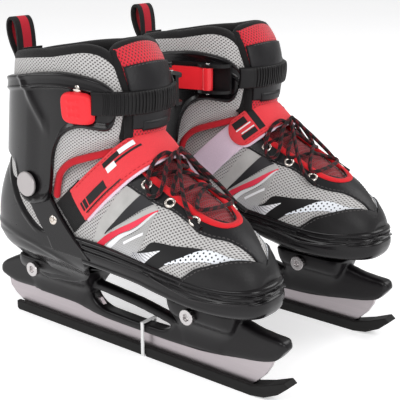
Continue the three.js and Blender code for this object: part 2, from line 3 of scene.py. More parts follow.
import bmesh
import bpy
import numpy as np
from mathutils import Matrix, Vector


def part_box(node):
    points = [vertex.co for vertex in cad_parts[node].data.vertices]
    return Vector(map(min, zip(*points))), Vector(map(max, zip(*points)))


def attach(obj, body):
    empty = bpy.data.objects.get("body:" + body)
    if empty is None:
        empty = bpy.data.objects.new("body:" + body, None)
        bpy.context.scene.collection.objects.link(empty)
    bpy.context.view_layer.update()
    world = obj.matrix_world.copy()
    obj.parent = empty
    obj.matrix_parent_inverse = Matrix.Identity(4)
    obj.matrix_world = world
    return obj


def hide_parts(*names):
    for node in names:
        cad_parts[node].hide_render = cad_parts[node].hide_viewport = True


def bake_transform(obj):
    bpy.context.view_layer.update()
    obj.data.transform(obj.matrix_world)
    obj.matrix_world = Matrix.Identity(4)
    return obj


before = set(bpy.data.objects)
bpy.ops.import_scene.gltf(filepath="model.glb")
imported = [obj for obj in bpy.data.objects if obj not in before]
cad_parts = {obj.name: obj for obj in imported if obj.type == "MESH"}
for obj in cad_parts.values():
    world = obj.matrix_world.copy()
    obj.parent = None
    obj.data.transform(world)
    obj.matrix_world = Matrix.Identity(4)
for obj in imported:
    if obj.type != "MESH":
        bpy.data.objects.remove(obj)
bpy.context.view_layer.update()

# Each skate is worked out in millimetres in its own frame: x to the toes, y to the buckle side, z up.
# place() sets it into the pair's frame, in metres, and turns it over for the right skate.
sides = ("left", "right")
rearOfBlade = -150
bladeLow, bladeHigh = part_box("left_blade")
shiftX = bladeLow[0] * 1000 - rearOfBlade
halfSpacing = -(bladeLow[1] + bladeHigh[1]) / 2 * 1000


# millimetres in one skate's frame to metres in the pair's: y is counted from the pair's middle and
# changes its sign for the right skate
def place(points, side):
    points = np.asarray(points, float)
    turn = 1 if side == "left" else -1
    moved = np.stack([points[..., 0] + shiftX, turn * (points[..., 1] - halfSpacing), points[..., 2]], -1)
    return moved / 1000


# the two forms under every soft and moulded piece

foot = {
    "heel": -131, "toe": 137, "halfWidth": 40, "bottom": 70, "instep": 187, "sweep": 5, "middle": 0.45,
    "toePower": 3.2, "heelPower": 5, "upPower": 8, "downPower": 16,  # how square its ends are
    "roundPower": 2.0, "boxPower": 8.0,  # the section above and below its widest line
    "heights": [(0, 0.25), (0.05, 0.68), (0.15, 0.9), (0.34, 0.98), (0.507, 1), (0.563, 0.92), (0.623, 0.8),
                (0.668, 0.735), (0.713, 0.68), (0.8, 0.58), (0.907, 0.445), (0.951, 0.37), (0.985, 0.29),
                (1, 0.22)],
    "widths": [(0, 0.8), (0.15, 0.86), (0.35, 0.85), (0.5, 0.88), (0.62, 0.95), (0.76, 1), (0.88, 0.96),
               (1, 0.85)],
}
shaft = {
    "rear": -107, "front": 25, "half": 42, "power": 2.5,
    "rears": [(110, -16), (150, -10), (190, -4), (215, 0), (270, 6)],
    "fronts": [(110, -17), (150, -10), (190, -3), (215, 0), (270, -17)],
    "halves": [(110, -3), (150, -2.8), (190, -1), (215, 0), (270, -1)],
}


# smooth value at a place between stations: a cubic through each, its slope there the rise over the run
# from the station before it to the one after it
def along(stations, at):
    knots, values = np.array(stations, float).T
    slope = np.empty_like(values)
    slope[1:-1] = (values[2:] - values[:-2]) / (knots[2:] - knots[:-2])
    slope[0] = (values[1] - values[0]) / (knots[1] - knots[0])
    slope[-1] = (values[-1] - values[-2]) / (knots[-1] - knots[-2])
    at = np.clip(at, knots[0], knots[-1])
    i = np.clip(np.searchsorted(knots, at, side="right") - 1, 0, len(knots) - 2)
    span = knots[i + 1] - knots[i]
    t = (at - knots[i]) / span
    bend = span * t * (1 - t) * (slope[i] * (1 - t) - slope[i + 1] * t)
    return values[i] + (values[i + 1] - values[i]) * t * t * (3 - 2 * t) + bend


# n points on a smooth curve through given points, spaced by length; straight=True keeps corners
def curve(points, n, straight=False):
    points = np.array(points, float)
    reach = np.r_[0, np.cumsum(np.linalg.norm(np.diff(points, axis=0), axis=1))]
    t = np.linspace(0, reach[-1], n)
    if straight:
        return np.stack([np.interp(t, reach, points[:, k]) for k in range(points.shape[1])], -1)
    return np.stack([along(np.c_[reach, points[:, k]], t) for k in range(points.shape[1])], -1)


# 0 up to low, 1 from high on, and between them three times the square less twice the cube of the share
def smooth(low, high, value):
    t = np.clip((value - low) / (high - low), 0, 1)
    return t * t * (3 - 2 * t)


# the size of a value raised to a power, with the value's own sign
def signedPower(value, power):
    return np.sign(value) * np.abs(value) ** power


# 1 in the middle of 0..1, falling to 0 at both ends: one less the distance from the middle to a power,
# and of that the root of the same power
def endRound(share, power):
    return np.maximum(1 - np.abs(2 * share - 1) ** power, 0) ** (1 / power)


# the foot's cross-section at x: half width, widest height, rise above it, drop below it, sweep
def footSection(x, grow):
    length = foot["toe"] - foot["heel"] + 2 * grow
    share = np.clip((x - foot["heel"] + grow) / length, 0, 1)
    ends = np.where(share > 0.5, foot["toePower"], foot["heelPower"])
    half = (foot["halfWidth"] * along(foot["widths"], share) + grow) * endRound(share, ends)
    full = (foot["instep"] - foot["bottom"]) * along(foot["heights"], share)
    up = (full * (1 - foot["middle"]) + grow) * endRound(share, foot["upPower"])
    down = (full * foot["middle"] + grow) * endRound(share, foot["downPower"])
    return half, foot["bottom"] + foot["middle"] * full, up, down, foot["sweep"] * share ** 3


# point of the foot form: w from 0 (widest line) to 1 (top) is a quarter ellipse, and below 0 it is
# the share of the drop on a boxy eighth-power side; side -1 is the inner side, 1 the outer
def footPoint(x, w, grow, side):
    half, middle, up, down, sweep = footSection(x, grow)
    angle = np.clip(w, 0, 1) * np.pi / 2
    low = np.clip(-w, 0, 1)
    box = foot["boxPower"]
    y = half * np.where(w > 0, np.cos(angle), (1 - low ** box) ** (1 / box))
    z = middle + np.where(w > 0, up * np.sin(angle), -down * low)
    return np.stack(np.broadcast_arrays(x * 1.0, side * y - sweep, z), -1)


# half width of the foot form at x and z: an ellipse above the widest line, the boxy power below it
def footSide(x, z, grow):
    half, middle, up, down, sweep = footSection(x, grow)
    upper = z > middle
    share = np.where(upper, (z - middle) / np.maximum(up, 1e-6), (middle - z) / np.maximum(down, 1e-6))
    power = np.where(upper, foot["roundPower"], foot["boxPower"])
    return half * np.maximum(1 - share ** power, 0) ** (1 / power)


# point of the foot form at x and z: the half width there to one side, less the sweep
def sidePoint(x, z, grow, side):
    sweep = footSection(x, grow)[4]
    return np.stack(np.broadcast_arrays(x * 1.0, side * footSide(x, z, grow) - sweep, z * 1.0), -1)


# true where a point is nearer to the swept middle line than the half width at its x and z
def insideFoot(p):
    sweep = footSection(p[..., 0], 0)[4]
    return np.abs(p[..., 1] + sweep) < footSide(p[..., 0], p[..., 2], 0)


# the foot form's surface met from a centre along a direction, found by halving the reach 26 times
def reachOut(centre, direction, far=190):
    near = np.zeros(direction.shape[:-1])
    far = np.full(direction.shape[:-1], float(far))
    for _ in range(26):
        middle = (near + far) / 2
        isIn = insideFoot(centre + direction * middle[..., None])
        near = np.where(isIn, middle, near)
        far = np.where(isIn, far, middle)
    return centre + direction * near[..., None]


# the shaft form: a superellipse at each height; turn 0 is the front, 180 the back, negative the inner side
def shaftPoint(turn, z, grow):
    rear = shaft["rear"] + along(shaft["rears"], z) - grow
    front = shaft["front"] + along(shaft["fronts"], z) + grow
    angle = np.radians(turn)
    x = (front + rear) / 2 + signedPower(np.cos(angle), 2 / shaft["power"]) * (front - rear) / 2
    y = signedPower(np.sin(angle), 2 / shaft["power"]) * (shaft["half"] + along(shaft["halves"], z) + grow)
    return np.stack(np.broadcast_arrays(x, y, z * 1.0), -1)


# the turn at which the shaft form reaches x: the superellipse's own power undone, then its arc cosine
def shaftTurn(x, z, grow):
    rear = shaft["rear"] + along(shaft["rears"], z) - grow
    front = shaft["front"] + along(shaft["fronts"], z) + grow
    across = np.clip(2 * (x - (front + rear) / 2) / (front - rear), -1, 1)
    return np.degrees(np.arccos(signedPower(across, shaft["power"] / 2)))


# meshes

# quads between neighbours on a grid of nu by nv points, round again to the first where it wraps
def gridFaces(nu, nv, wrapU, wrapV):
    i, j = np.meshgrid(np.arange(nu if wrapU else nu - 1), np.arange(nv if wrapV else nv - 1), indexing="ij")
    right, above = (i + 1) % nu, (j + 1) % nv
    return np.stack([i * nv + j, right * nv + j, right * nv + above, i * nv + above], -1).reshape(-1, 4)


# a grid of points as (vertices, quads, corner UVs, finish index); UVs are lengths along both ways in mm
def sheetOf(points, wrapU=False, wrapV=False, finish=0, start=0):
    nu, nv = points.shape[:2]
    closed = np.concatenate([points, points[:1]]) if wrapU else points
    closed = np.concatenate([closed, closed[:, :1]], 1) if wrapV else closed
    u = np.r_[0, np.cumsum(np.linalg.norm(np.diff(closed, axis=0), axis=-1).mean(1))]
    v = np.c_[np.zeros(len(closed)), np.cumsum(np.linalg.norm(np.diff(closed, axis=1), axis=-1), 1)]
    v = v + np.reshape(start, (-1, 1))
    uv = np.stack([np.broadcast_to(u[:, None], v.shape), v], -1)
    quads = gridFaces(nu, nv, wrapU, wrapV)
    i, j = np.meshgrid(np.arange(nu if wrapU else nu - 1), np.arange(nv if wrapV else nv - 1), indexing="ij")
    corners = np.stack([uv[i, j], uv[i + 1, j], uv[i + 1, j + 1], uv[i, j + 1]], 2).reshape(-1, 4, 2)
    return points.reshape(-1, 3), quads, corners, np.full(len(quads), finish)


# several parts as one: their points and faces in a row, each part's numbers moved on past those before
def joined(parts):
    offset = np.cumsum([0] + [len(p[0]) for p in parts[:-1]])
    quads = np.concatenate([p[1] + o for p, o in zip(parts, offset)])
    return (np.concatenate([p[0] for p in parts]), quads, np.concatenate([p[2] for p in parts]),
            np.concatenate([p[3] for p in parts]))


# an outer and an inner grid made one closed wall, with its ends capped
def wallOf(outer, inner, wrapU=False, lining=0, start=0):
    parts = [sheetOf(outer, wrapU, start=start), sheetOf(inner[:, ::-1], wrapU, finish=lining)]
    for edge in (0, -1):
        parts.append(sheetOf(np.stack([outer[:, edge], inner[:, edge]], 1), wrapU))
        if not wrapU:
            parts.append(sheetOf(np.stack([outer[edge], inner[edge]], 1)))
    return joined(parts)


# the same for rings that shrink to a point in the middle of both grids
def domeOf(outer, inner):
    rim = np.stack([outer[:, -1], inner[:, -1]], 1)
    return joined([sheetOf(outer, True), sheetOf(inner[:, ::-1], True), sheetOf(rim, True)])


rimShare = 0.08  # what is left of a skin's thickness at its very border


# a skin on a form between its u lines and v lines: the form grown by low is its back, and its face is
# thick above that, rounded down to the back like a quarter circle within edge mm of its border
def skin(form, u, v, low, thick, edge, relief=0, both=False, wrapU=False, lining=0, openTop=False):
    back = form(u, v, low + 0 * u)
    widths = np.linalg.norm(np.diff(back, axis=1), axis=-1)
    reach = np.c_[np.zeros(len(back)), np.cumsum(widths, 1)]
    rim = reach if openTop else np.minimum(reach, reach[:, -1:] - reach)
    if not wrapU:
        ends = np.linalg.norm(np.diff(back, axis=0), axis=-1)
        reach = np.concatenate([np.zeros((1, back.shape[1])), np.cumsum(ends, 0)])
        rim = np.minimum(rim, np.minimum(reach, reach[-1:] - reach))
    rise = np.sqrt(1 - (1 - np.clip(rim / edge, 0, 1)) ** 2) * (1 - rimShare) + rimShare
    if both:
        face = form(u, v, low + thick / 2 + thick / 2 * rise + relief * rise)
        back = form(u, v, low + thick / 2 - thick / 2 * rise)
    else:
        face = form(u, v, low + thick * rise + relief * rise)
    return wallOf(face, back, wrapU, lining, v[:, 0] if form is shaftPoint else 0)


# shares 0..1 of a length: n even ones between the rounded borders, edge wide, and five closer ones in each
def borderShares(n, length, edge):
    near = np.array([0, 0.03, 0.12, 0.3, 0.6]) * edge / length
    return np.r_[near, np.linspace(edge / length, 1 - edge / length, n), 1 - near[::-1]]


# w runs 1.92 times as fast below the widest line as above it, so edges are drawn on an even scale
evenShare = 1.92


# given (x, w) points with w below the widest line divided by that
def evenOut(points):
    return [(x, w / evenShare if w < 0 else w) for x, w in points]


# a skin between two edge curves of listed (x, w) or, with even=False, (x, z) points: straight lines
# join the points at equal shares of both curves
def panel(form, lowEdge, highEdge, low, thick, edge=0.5, n=60, m=14, straight=False, even=True,
          openTop=False):
    length = max(np.ptp(np.array(lowEdge)[:, 0]), np.ptp(np.array(highEdge)[:, 0]), 6)
    share = borderShares(n, length, edge)
    pick = np.linspace(0, 1, 200)
    borders = []
    for points in (lowEdge, highEdge):
        line = curve(evenOut(points) if even else points, len(pick), straight)
        borders.append(np.stack([np.interp(share, pick, line[:, k]) for k in (0, 1)], -1))
    bottom, top = borders
    across = borderShares(m, 12, edge)[None, :, None]
    lines = bottom[:, None] + (top - bottom)[:, None] * across
    v = lines[..., 1]
    v = np.where(v < 0, v * evenShare, v) if even else v
    return skin(form, lines[..., 0], v, low, thick, edge, openTop=openTop)


# a form held to one side, so that it takes two places and the growth only
def oneSide(form, side):
    return lambda a, b, grow: form(a, b, grow, side)


# a tube round a path: circles of points square to it, their first direction taken away from a line
# along x at the height core; flat squeezes it on that direction, and taper rounds so many rings off
def tubeOf(path, radius, n=10, flat=1.0, core=100, taper=0):
    ahead = np.gradient(path, axis=0)
    ahead /= np.linalg.norm(ahead, axis=1, keepdims=True)
    away = (path - [0, 0, core]) * [0, 1, 1]
    away -= ahead * (away * ahead).sum(1, keepdims=True)
    away /= np.linalg.norm(away, axis=1, keepdims=True)
    across = np.cross(ahead, away)
    angle = np.linspace(0, 2 * np.pi, n, endpoint=False)
    ends = np.ones(len(path))
    if taper:
        k = np.arange(len(path))
        rim = np.minimum(k, len(path) - 1 - k) / taper
        ends = np.sqrt(1 - (1 - np.clip(rim, 0, 1)) ** 2)
    ring = away[:, None] * np.cos(angle)[:, None] * flat + across[:, None] * np.sin(angle)[:, None]
    points = path[:, None] + ring * radius * ends[:, None, None]
    parts = [sheetOf(points, False, True)]
    if not taper:
        for end in (0, -1):
            parts.append(sheetOf(np.stack([points[end], np.broadcast_to(path[end], (n, 3))], 0), False, True))
    return joined(parts)


# a turned shape: a (radius, height) profile spun round an axis through a centre, so each point is the
# centre, its height along the axis and its radius along a direction that goes round
def turned(profile, centre, axis, n=28):
    profile = np.array(profile, float)
    axis = np.array(axis, float) / np.linalg.norm(axis)
    first = np.cross(axis, [0, 0, 1] if abs(axis[2]) < 0.9 else [1, 0, 0])
    first /= np.linalg.norm(first)
    second = np.cross(axis, first)
    angle = np.linspace(0, 2 * np.pi, n, endpoint=False)
    ring = first * np.cos(angle)[:, None] + second * np.sin(angle)[:, None]
    points = np.array(centre) + ring[:, None] * profile[None, :, :1] + axis * profile[None, :, 1:]
    return sheetOf(points, True)


# short threads set end to end along a path: six-sided bars from one place on it to the next, whose ends
# are drawn in to 0.3 of the radius over 0.15 of the length
def stitches(path, away, length=2.1, gap=1.3, radius=0.32):
    reach = np.r_[0, np.cumsum(np.linalg.norm(np.diff(path, axis=0), axis=1))]
    start = np.arange(gap, reach[-1] - length - gap, length + gap)
    first, last = (np.stack([np.interp(at, reach, path[:, k]) for k in range(3)], -1)
                   for at in (start, start + length))
    out = np.stack([np.interp(start, reach, away[:, k]) for k in range(3)], -1)
    out /= np.linalg.norm(out, axis=1, keepdims=True)
    way = last - first
    across = np.cross(way / np.linalg.norm(way, axis=1, keepdims=True), out)
    angle = np.linspace(0, 2 * np.pi, 6, endpoint=False)
    ring = out[:, None] * np.cos(angle)[:, None] + across[:, None] * np.sin(angle)[:, None]
    inset = way[:, None] * 0.15
    rows = [first[:, None] + ring * radius * 0.3, first[:, None] + inset + ring * radius,
            last[:, None] - inset + ring * radius, last[:, None] + ring * radius * 0.3]
    points = np.stack(rows, 1)
    caps = [[0, 1, 2, 3], [0, 3, 4, 5], [18, 19, 20, 21], [18, 21, 22, 23]]
    faces = np.concatenate([gridFaces(4, 6, False, True), caps])
    faces = (faces[None] + np.arange(len(start))[:, None, None] * 24).reshape(-1, 4)
    uv = np.broadcast_to(np.array([[0, 0], [1, 0], [1, 1], [0, 1]], float), (len(faces), 4, 2))
    return points.reshape(-1, 3), faces, uv, np.zeros(len(faces), int)


# puts a part into a mesh object: welded, facing out, smooth but for edges sharper than crease degrees
def make(name, side, part, materials, crease=50):
    vertices, quads, uv, finish = part
    if side == "right":
        quads, uv = quads[:, ::-1], uv[:, ::-1]
    mesh = bpy.data.meshes.new(f"{side}_{name}")
    mesh.from_pydata(place(vertices, side), [], quads.tolist())
    mesh.uv_layers.new(name="UVMap").data.foreach_set("uv", np.ascontiguousarray(uv, np.float32).ravel())
    mesh.polygons.foreach_set("material_index", finish.astype(np.int32))
    work = bmesh.new()
    work.from_mesh(mesh)
    bmesh.ops.remove_doubles(work, verts=work.verts, dist=2e-6)
    bmesh.ops.dissolve_degenerate(work, edges=work.edges, dist=1e-7)
    bmesh.ops.recalc_face_normals(work, faces=work.faces)
    work.to_mesh(mesh)
    work.free()
    mesh.shade_smooth()
    mesh.set_sharp_from_angle(angle=math.radians(crease))
    for material in materials if isinstance(materials, (list, tuple)) else [materials]:
        mesh.materials.append(material)
    piece = bpy.data.objects.new(f"{side}_{name}", mesh)
    bpy.context.scene.collection.objects.link(piece)
    return piece


# bodies: the size slide moves the front of the boot out of the rear shell, and the cuff turns on the ankle;
# the upper spans two places along x and the ankle part two heights, and pieces on either are baked where they
# stand, on no body
joints = {
    "upper": {"moves": "front", "from": (-48, 0, 110), "to": (2, 0, 110)},
    "ankle": {"moves": "cuff", "from": (-70, 0, 138), "to": (-70, 0, 186)},
}


# says what a piece moves with and which model nodes it stands for
def onBody(piece, side, body, stands=()):
    if body in joints:
        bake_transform(piece)
    else:
        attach(piece, "root" if body == "root" else f"{side}_{body}")
    if stands:
        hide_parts(*[f"{side}_{node}" for node in stands])
    return piece


# the same part for both skates
def build(name, part, materials, body, stands=(), crease=50):
    return [onBody(make(name, side, part, materials, crease), side, body, stands) for side in sides]


print("forms and mesh tools ready")


# materials

# a material of one shader, with its colour, roughness and other sockets set on the shader itself
def newMaterial(name, color, roughness, **sockets):
    material = bpy.data.materials.new(name)
    material.use_nodes = True
    shader = material.node_tree.nodes["Principled BSDF"]
    shader.inputs["Base Color"].default_value = (*color, 1)
    shader.inputs["Roughness"].default_value = roughness
    for socket, value in sockets.items():
        shader.inputs[socket.replace("_", " ")].default_value = value
    return material, material.node_tree, shader


# sRGB 0..255 to the linear values that sockets hold
def rgb(red, green, blue):
    c = np.array([red, green, blue]) / 255
    return tuple(np.where(c < 0.04045, c / 12.92, ((c + 0.055) / 1.055) ** 2.4))


# links a socket, or sets a plain value
def feed(tree, value, socket):
    if isinstance(value, bpy.types.NodeSocket):
        tree.links.new(value, socket)
    else:
        socket.default_value = value


# a node with its settings and inputs; an input is given by its name, or as i and its number
def node(tree, kind, settings=None, **inputs):
    made = tree.nodes.new("ShaderNode" + kind)
    for key, value in (settings or {}).items():
        setattr(made, key, value)
    for key, value in inputs.items():
        numbered = key[0] == "i" and key[1:].isdigit()
        feed(tree, value, made.inputs[int(key[1:]) if numbered else key])
    return made


def calc(tree, operation, *values):
    inputs = {f"i{k}": v for k, v in enumerate(values)}
    return node(tree, "Math", {"operation": operation}, **inputs).outputs[0]


def times(tree, first, second):
    return calc(tree, "MULTIPLY", first, second)


def plus(tree, first, second):
    return calc(tree, "ADD", first, second)


def minus(tree, first, second):
    return calc(tree, "SUBTRACT", first, second)


# the sine or cosine of a length times a rate
def wave(tree, operation, length, rate):
    return calc(tree, operation, times(tree, length, rate))


# the first colour where the factor is 0 and the second where it is 1
def blendColor(tree, factor, first, second):
    mix = node(tree, "Mix", {"data_type": "RGBA"})
    for k, value in ((0, factor), (6, first), (7, second)):
        feed(tree, (*value, 1) if isinstance(value, tuple) else value, mix.inputs[k])
    return mix.outputs[2]


# a colour made darker or lighter by a factor, and raised a little, but never past white
def shaded(color, factor, lift=0.0):
    return tuple(min(1, c * factor + lift) for c in color)


# 0 up to low, 1 from high on, smooth between them
def ramp(tree, value, low, high):
    return node(tree, "MapRange", {"interpolation_type": "SMOOTHSTEP"}, i0=value, i1=low, i2=high).outputs[0]


def noise(tree, vector, scale, detail=3, roughness=0.5):
    return node(tree, "TexNoise", Vector=vector, Scale=scale, Detail=detail, Roughness=roughness).outputs[0]


# a height in metres times distance as the surface's relief, over another one where there is one
def bump(tree, shader, height, strength, distance, below=None):
    made = node(tree, "Bump", Height=height, Strength=strength, Distance=distance)
    if below:
        tree.links.new(below, made.inputs["Normal"])
    tree.links.new(made.outputs[0], shader.inputs["Normal"])
    return made.outputs[0]


def objectPlace(tree):
    return node(tree, "TexCoord").outputs["Object"]


# lengths along and across the piece, in millimetres, from its own UV map
def uvLengths(tree):
    parts = node(tree, "SeparateXYZ", i0=node(tree, "UVMap", {"uv_map": "UVMap"}).outputs[0])
    return parts.outputs[0], parts.outputs[1]


# moulded plastic: fine grain, soft large waves in the gloss and paler scuffs on the high spots
def plastic(name, color, roughness, coat=0.0, grain=0.06, scuff=0.12):
    material, tree, shader = newMaterial(name, color, roughness, Coat_Weight=coat, Coat_Roughness=0.16,
                                         Specular_IOR_Level=0.22)
    where = objectPlace(tree)
    fine = noise(tree, where, 2600, 2)
    wide = noise(tree, where, 45, 4)
    worn = ramp(tree, noise(tree, where, 160, 6, 0.7), 0.56, 0.74)
    shade = blendColor(tree, times(tree, worn, scuff), color, shaded(color, 1.4, 0.008))
    feed(tree, shade, shader.inputs["Base Color"])
    gloss = plus(tree, roughness - 0.08, times(tree, wide, 0.16))
    feed(tree, plus(tree, gloss, times(tree, worn, 0.06)), shader.inputs["Roughness"])
    bump(tree, shader, fine, grain, 0.0002)
    return material


# open spacer mesh: holes in a staggered lattice, from the product of two cosines, between raised yarns; the
# holes take a darker colour, painted shade in the hollows
def spacerMesh(name, yarn, hole, pitch=(2.0, 1.35), depth=0.8):
    material, tree, shader = newMaterial(name, yarn, 0.85, Sheen_Weight=0.25, Sheen_Roughness=0.5)
    u, v = uvLengths(tree)
    where = objectPlace(tree)
    wobble = times(tree, minus(tree, noise(tree, where, 300, 2), 0.5), 0.5)
    rows, columns = (calc(tree, "COSINE", plus(tree, times(tree, length, math.pi / step), wobble))
                     for length, step in zip((u, v), pitch))
    opening = ramp(tree, times(tree, rows, columns), 0.12, 0.6)
    fibre = noise(tree, where, 1500, 4, 0.7)
    shade = blendColor(tree, fibre, shaded(yarn, 0.78), shaded(yarn, 1.16))
    # painted shade: the openings are coloured with the darker hole colour
    feed(tree, blendColor(tree, opening, shade, hole), shader.inputs["Base Color"])
    bump(tree, shader, minus(tree, times(tree, fibre, 0.25), opening), depth, 0.0006)
    return material


# woven tape: ribs along it and a fine cross weave; a band of another colour may run along the middle
def webbing(name, color, rib=1.1, middle=None, width=18):
    material, tree, shader = newMaterial(name, color, 0.8, Sheen_Weight=0.12, Sheen_Roughness=0.4,
                                         Specular_IOR_Level=0.25)
    u, v = uvLengths(tree)
    ribs = wave(tree, "SINE", v, 2 * math.pi / rib)
    weave = wave(tree, "SINE", u, 2 * math.pi / 0.9)
    height = plus(tree, times(tree, ribs, 0.5), times(tree, times(tree, ribs, weave), 0.5))
    fibre = noise(tree, objectPlace(tree), 1800, 4, 0.7)
    # the colour follows the rib and weave height: painted shade in the low yarns between ribs, with random
    # fibre tone over it
    grooveShadeAndFibre = plus(tree, times(tree, height, 0.3), fibre)
    shade = blendColor(tree, grooveShadeAndFibre, shaded(color, 0.72), shaded(color, 1.1, 0.004))
    if middle:
        edge = calc(tree, "ABSOLUTE", minus(tree, v, width / 2))
        shade = blendColor(tree, ramp(tree, edge, width * 0.2, width * 0.24), middle, shade)
    feed(tree, shade, shader.inputs["Base Color"])
    bump(tree, shader, plus(tree, height, fibre), 0.5, 0.0003)
    return material


# coated leather: pebbled cells over slow waves
def leather(name, color, roughness, cells=900, depth=0.25):
    material, tree, shader = newMaterial(name, color, roughness, Specular_IOR_Level=0.2)
    where = objectPlace(tree)
    pebbles = node(tree, "TexVoronoi", {"feature": "SMOOTH_F1"}, Vector=where, Scale=cells).outputs[0]
    wide = noise(tree, where, 60, 5, 0.6)
    shade = blendColor(tree, wide, shaded(color, 0.75), shaded(color, 1.3, 0.003))
    feed(tree, shade, shader.inputs["Base Color"])
    feed(tree, plus(tree, roughness - 0.1, times(tree, wide, 0.2)), shader.inputs["Roughness"])
    below = bump(tree, shader, wide, 0.25, 0.0015)
    bump(tree, shader, pebbles, depth, 0.0003, below)
    return material


# brushed steel: noise drawn out along x in the colour, the gloss and the surface
def brushed(name, color, roughness, stretch=(14, 900, 900)):
    material, tree, shader = newMaterial(name, color, roughness, Metallic=1.0)
    where = node(tree, "Mapping", Vector=objectPlace(tree), Scale=stretch).outputs[0]
    lines = noise(tree, where, 1.0, 5, 0.65)
    feed(tree, blendColor(tree, lines, shaded(color, 0.86), shaded(color, 1.1)), shader.inputs["Base Color"])
    feed(tree, plus(tree, roughness - 0.08, times(tree, lines, 0.18)), shader.inputs["Roughness"])
    bump(tree, shader, lines, 0.08, 0.0002)
    return material


# braided cord: two sets of turns crossing, with dark and red yarns taking turns along it
def braid(name, dark, bright):
    material, tree, shader = newMaterial(name, dark, 0.8, Sheen_Weight=0.1, Specular_IOR_Level=0.25)
    u, v = uvLengths(tree)
    left, right = (calc(tree, "SINE", combine(tree, times(tree, u, 2.6), times(tree, v, 1.3)))
                   for combine in (plus, minus))
    cross = times(tree, left, right)
    yarns = calc(tree, "SINE", plus(tree, times(tree, u, 0.8), times(tree, v, 0.6)))
    fleck = times(tree, ramp(tree, yarns, 0.05, 0.5), ramp(tree, cross, -0.6, 0.3))
    feed(tree, blendColor(tree, fleck, dark, bright), shader.inputs["Base Color"])
    bump(tree, shader, cross, 0.6, 0.0004)
    return material


# printed film: the ink fades to the ground along the panel, with a staggered lattice of dots
def printed(name, ink, ground, fade, dots=None, pitch=2.2):
    material, tree, shader = newMaterial(name, ink, 0.55, Specular_IOR_Level=0.3)
    u, v = uvLengths(tree)
    shade = blendColor(tree, ramp(tree, u, *fade), ink, ground)
    if dots:
        spot = times(tree, *(wave(tree, "COSINE", length, math.pi / pitch) for length in (u, v)))
        size = plus(tree, 0.35, times(tree, u, 0.0065))
        shade = blendColor(tree, calc(tree, "GREATER_THAN", spot, size), shade, dots)
    feed(tree, shade, shader.inputs["Base Color"])
    bump(tree, shader, noise(tree, objectPlace(tree), 1700, 3), 0.2, 0.0002)
    return material


shellBlack = plastic("shellBlack", rgb(15, 13, 15), 0.24, coat=0.14)
frameBlack = plastic("frameBlack", rgb(17, 15, 17), 0.32, coat=0.1)
strapBlack = plastic("strapBlack", rgb(20, 19, 20), 0.42)
guardBlack = plastic("guardBlack", rgb(20, 19, 19), 0.6, grain=0.2, scuff=0.6)
buckleRed = plastic("buckleRed", rgb(225, 42, 50), 0.32, coat=0.3, scuff=0.12)
anchorRed = plastic("anchorRed", rgb(232, 46, 54), 0.42, grain=0.5, scuff=0.15)
tieWhite = plastic("tieWhite", rgb(226, 226, 226), 0.35, scuff=0.1)
capSilver = plastic("capSilver", rgb(176, 171, 171), 0.38, grain=0.15, scuff=0.2)
capSilver.node_tree.nodes["Principled BSDF"].inputs["Metallic"].default_value = 0.6
meshGrey = spacerMesh("meshGrey", rgb(190, 188, 187), rgb(92, 88, 87))
meshRed = spacerMesh("meshRed", rgb(206, 24, 44), rgb(112, 6, 18), pitch=(2.1, 1.4))
meshDeepRed = spacerMesh("meshDeepRed", rgb(150, 14, 30), rgb(64, 4, 10), pitch=(1.6, 1.2))
liningBlack = leather("liningBlack", rgb(18, 17, 18), 0.85, cells=1600, depth=0.5)
bindingBlack = webbing("bindingBlack", rgb(17, 15, 16), rib=0.9)
leatherBlack = leather("leatherBlack", rgb(24, 23, 25), 0.38)
toeLeather = leather("toeLeather", rgb(28, 27, 28), 0.42, cells=700)
overlayGrey = leather("overlayGrey", rgb(176, 175, 173), 0.6, cells=1400, depth=0.12)
inkBlack = printed("inkBlack", rgb(10, 9, 10), rgb(16, 15, 17), (0, 60))
fadeBlack = printed("fadeBlack", rgb(12, 11, 12), rgb(46, 45, 48), (0, 60))
inkRed = printed("inkRed", rgb(214, 28, 56), rgb(228, 60, 84), (10, 70))
inkWhite = printed("inkWhite", rgb(236, 236, 238), rgb(214, 214, 216), (10, 60))
darkDots, greyDots = rgb(26, 26, 30), rgb(134, 133, 134)
inkDotted = printed("inkDotted", rgb(232, 236, 242), rgb(206, 208, 212), (20, 70), dots=darkDots)
inkFlash = printed("inkFlash", rgb(176, 176, 180), rgb(240, 240, 244), (0, 26), dots=darkDots, pitch=1.3)
greyFade = printed("greyFade", rgb(196, 196, 198), rgb(168, 167, 166), (0, 40), dots=greyDots, pitch=1.2)
edgingRed = webbing("edgingRed", rgb(222, 30, 40), rib=0.8)
pipingRed = webbing("pipingRed", rgb(196, 26, 40), rib=0.8)
strapRed = webbing("strapRed", rgb(240, 66, 74), rib=0.55)
strapLilac = webbing("strapLilac", rgb(246, 222, 240), rib=0.5)
webBlack = webbing("webBlack", rgb(16, 15, 16), rib=1.3)
loopWeb = webbing("loopWeb", rgb(18, 16, 17), rib=1.0, middle=rgb(188, 30, 48), width=20)
laceBraid = braid("laceBraid", rgb(16, 10, 11), rgb(104, 12, 26))
threadRed = webbing("threadRed", rgb(196, 30, 42), rib=0.4)
threadPale = webbing("threadPale", rgb(84, 80, 80), rib=0.4)
bladeSteel = brushed("bladeSteel", rgb(186, 178, 181), 0.36)
boltSteel = brushed("boltSteel", rgb(200, 196, 196), 0.24, stretch=(900, 60, 900))
eyeletNickel = brushed("eyeletNickel", rgb(216, 208, 200), 0.22, stretch=(700, 700, 700))
print("materials ready")


# laces: the route of the centre line as in the model, and the exit at its first point

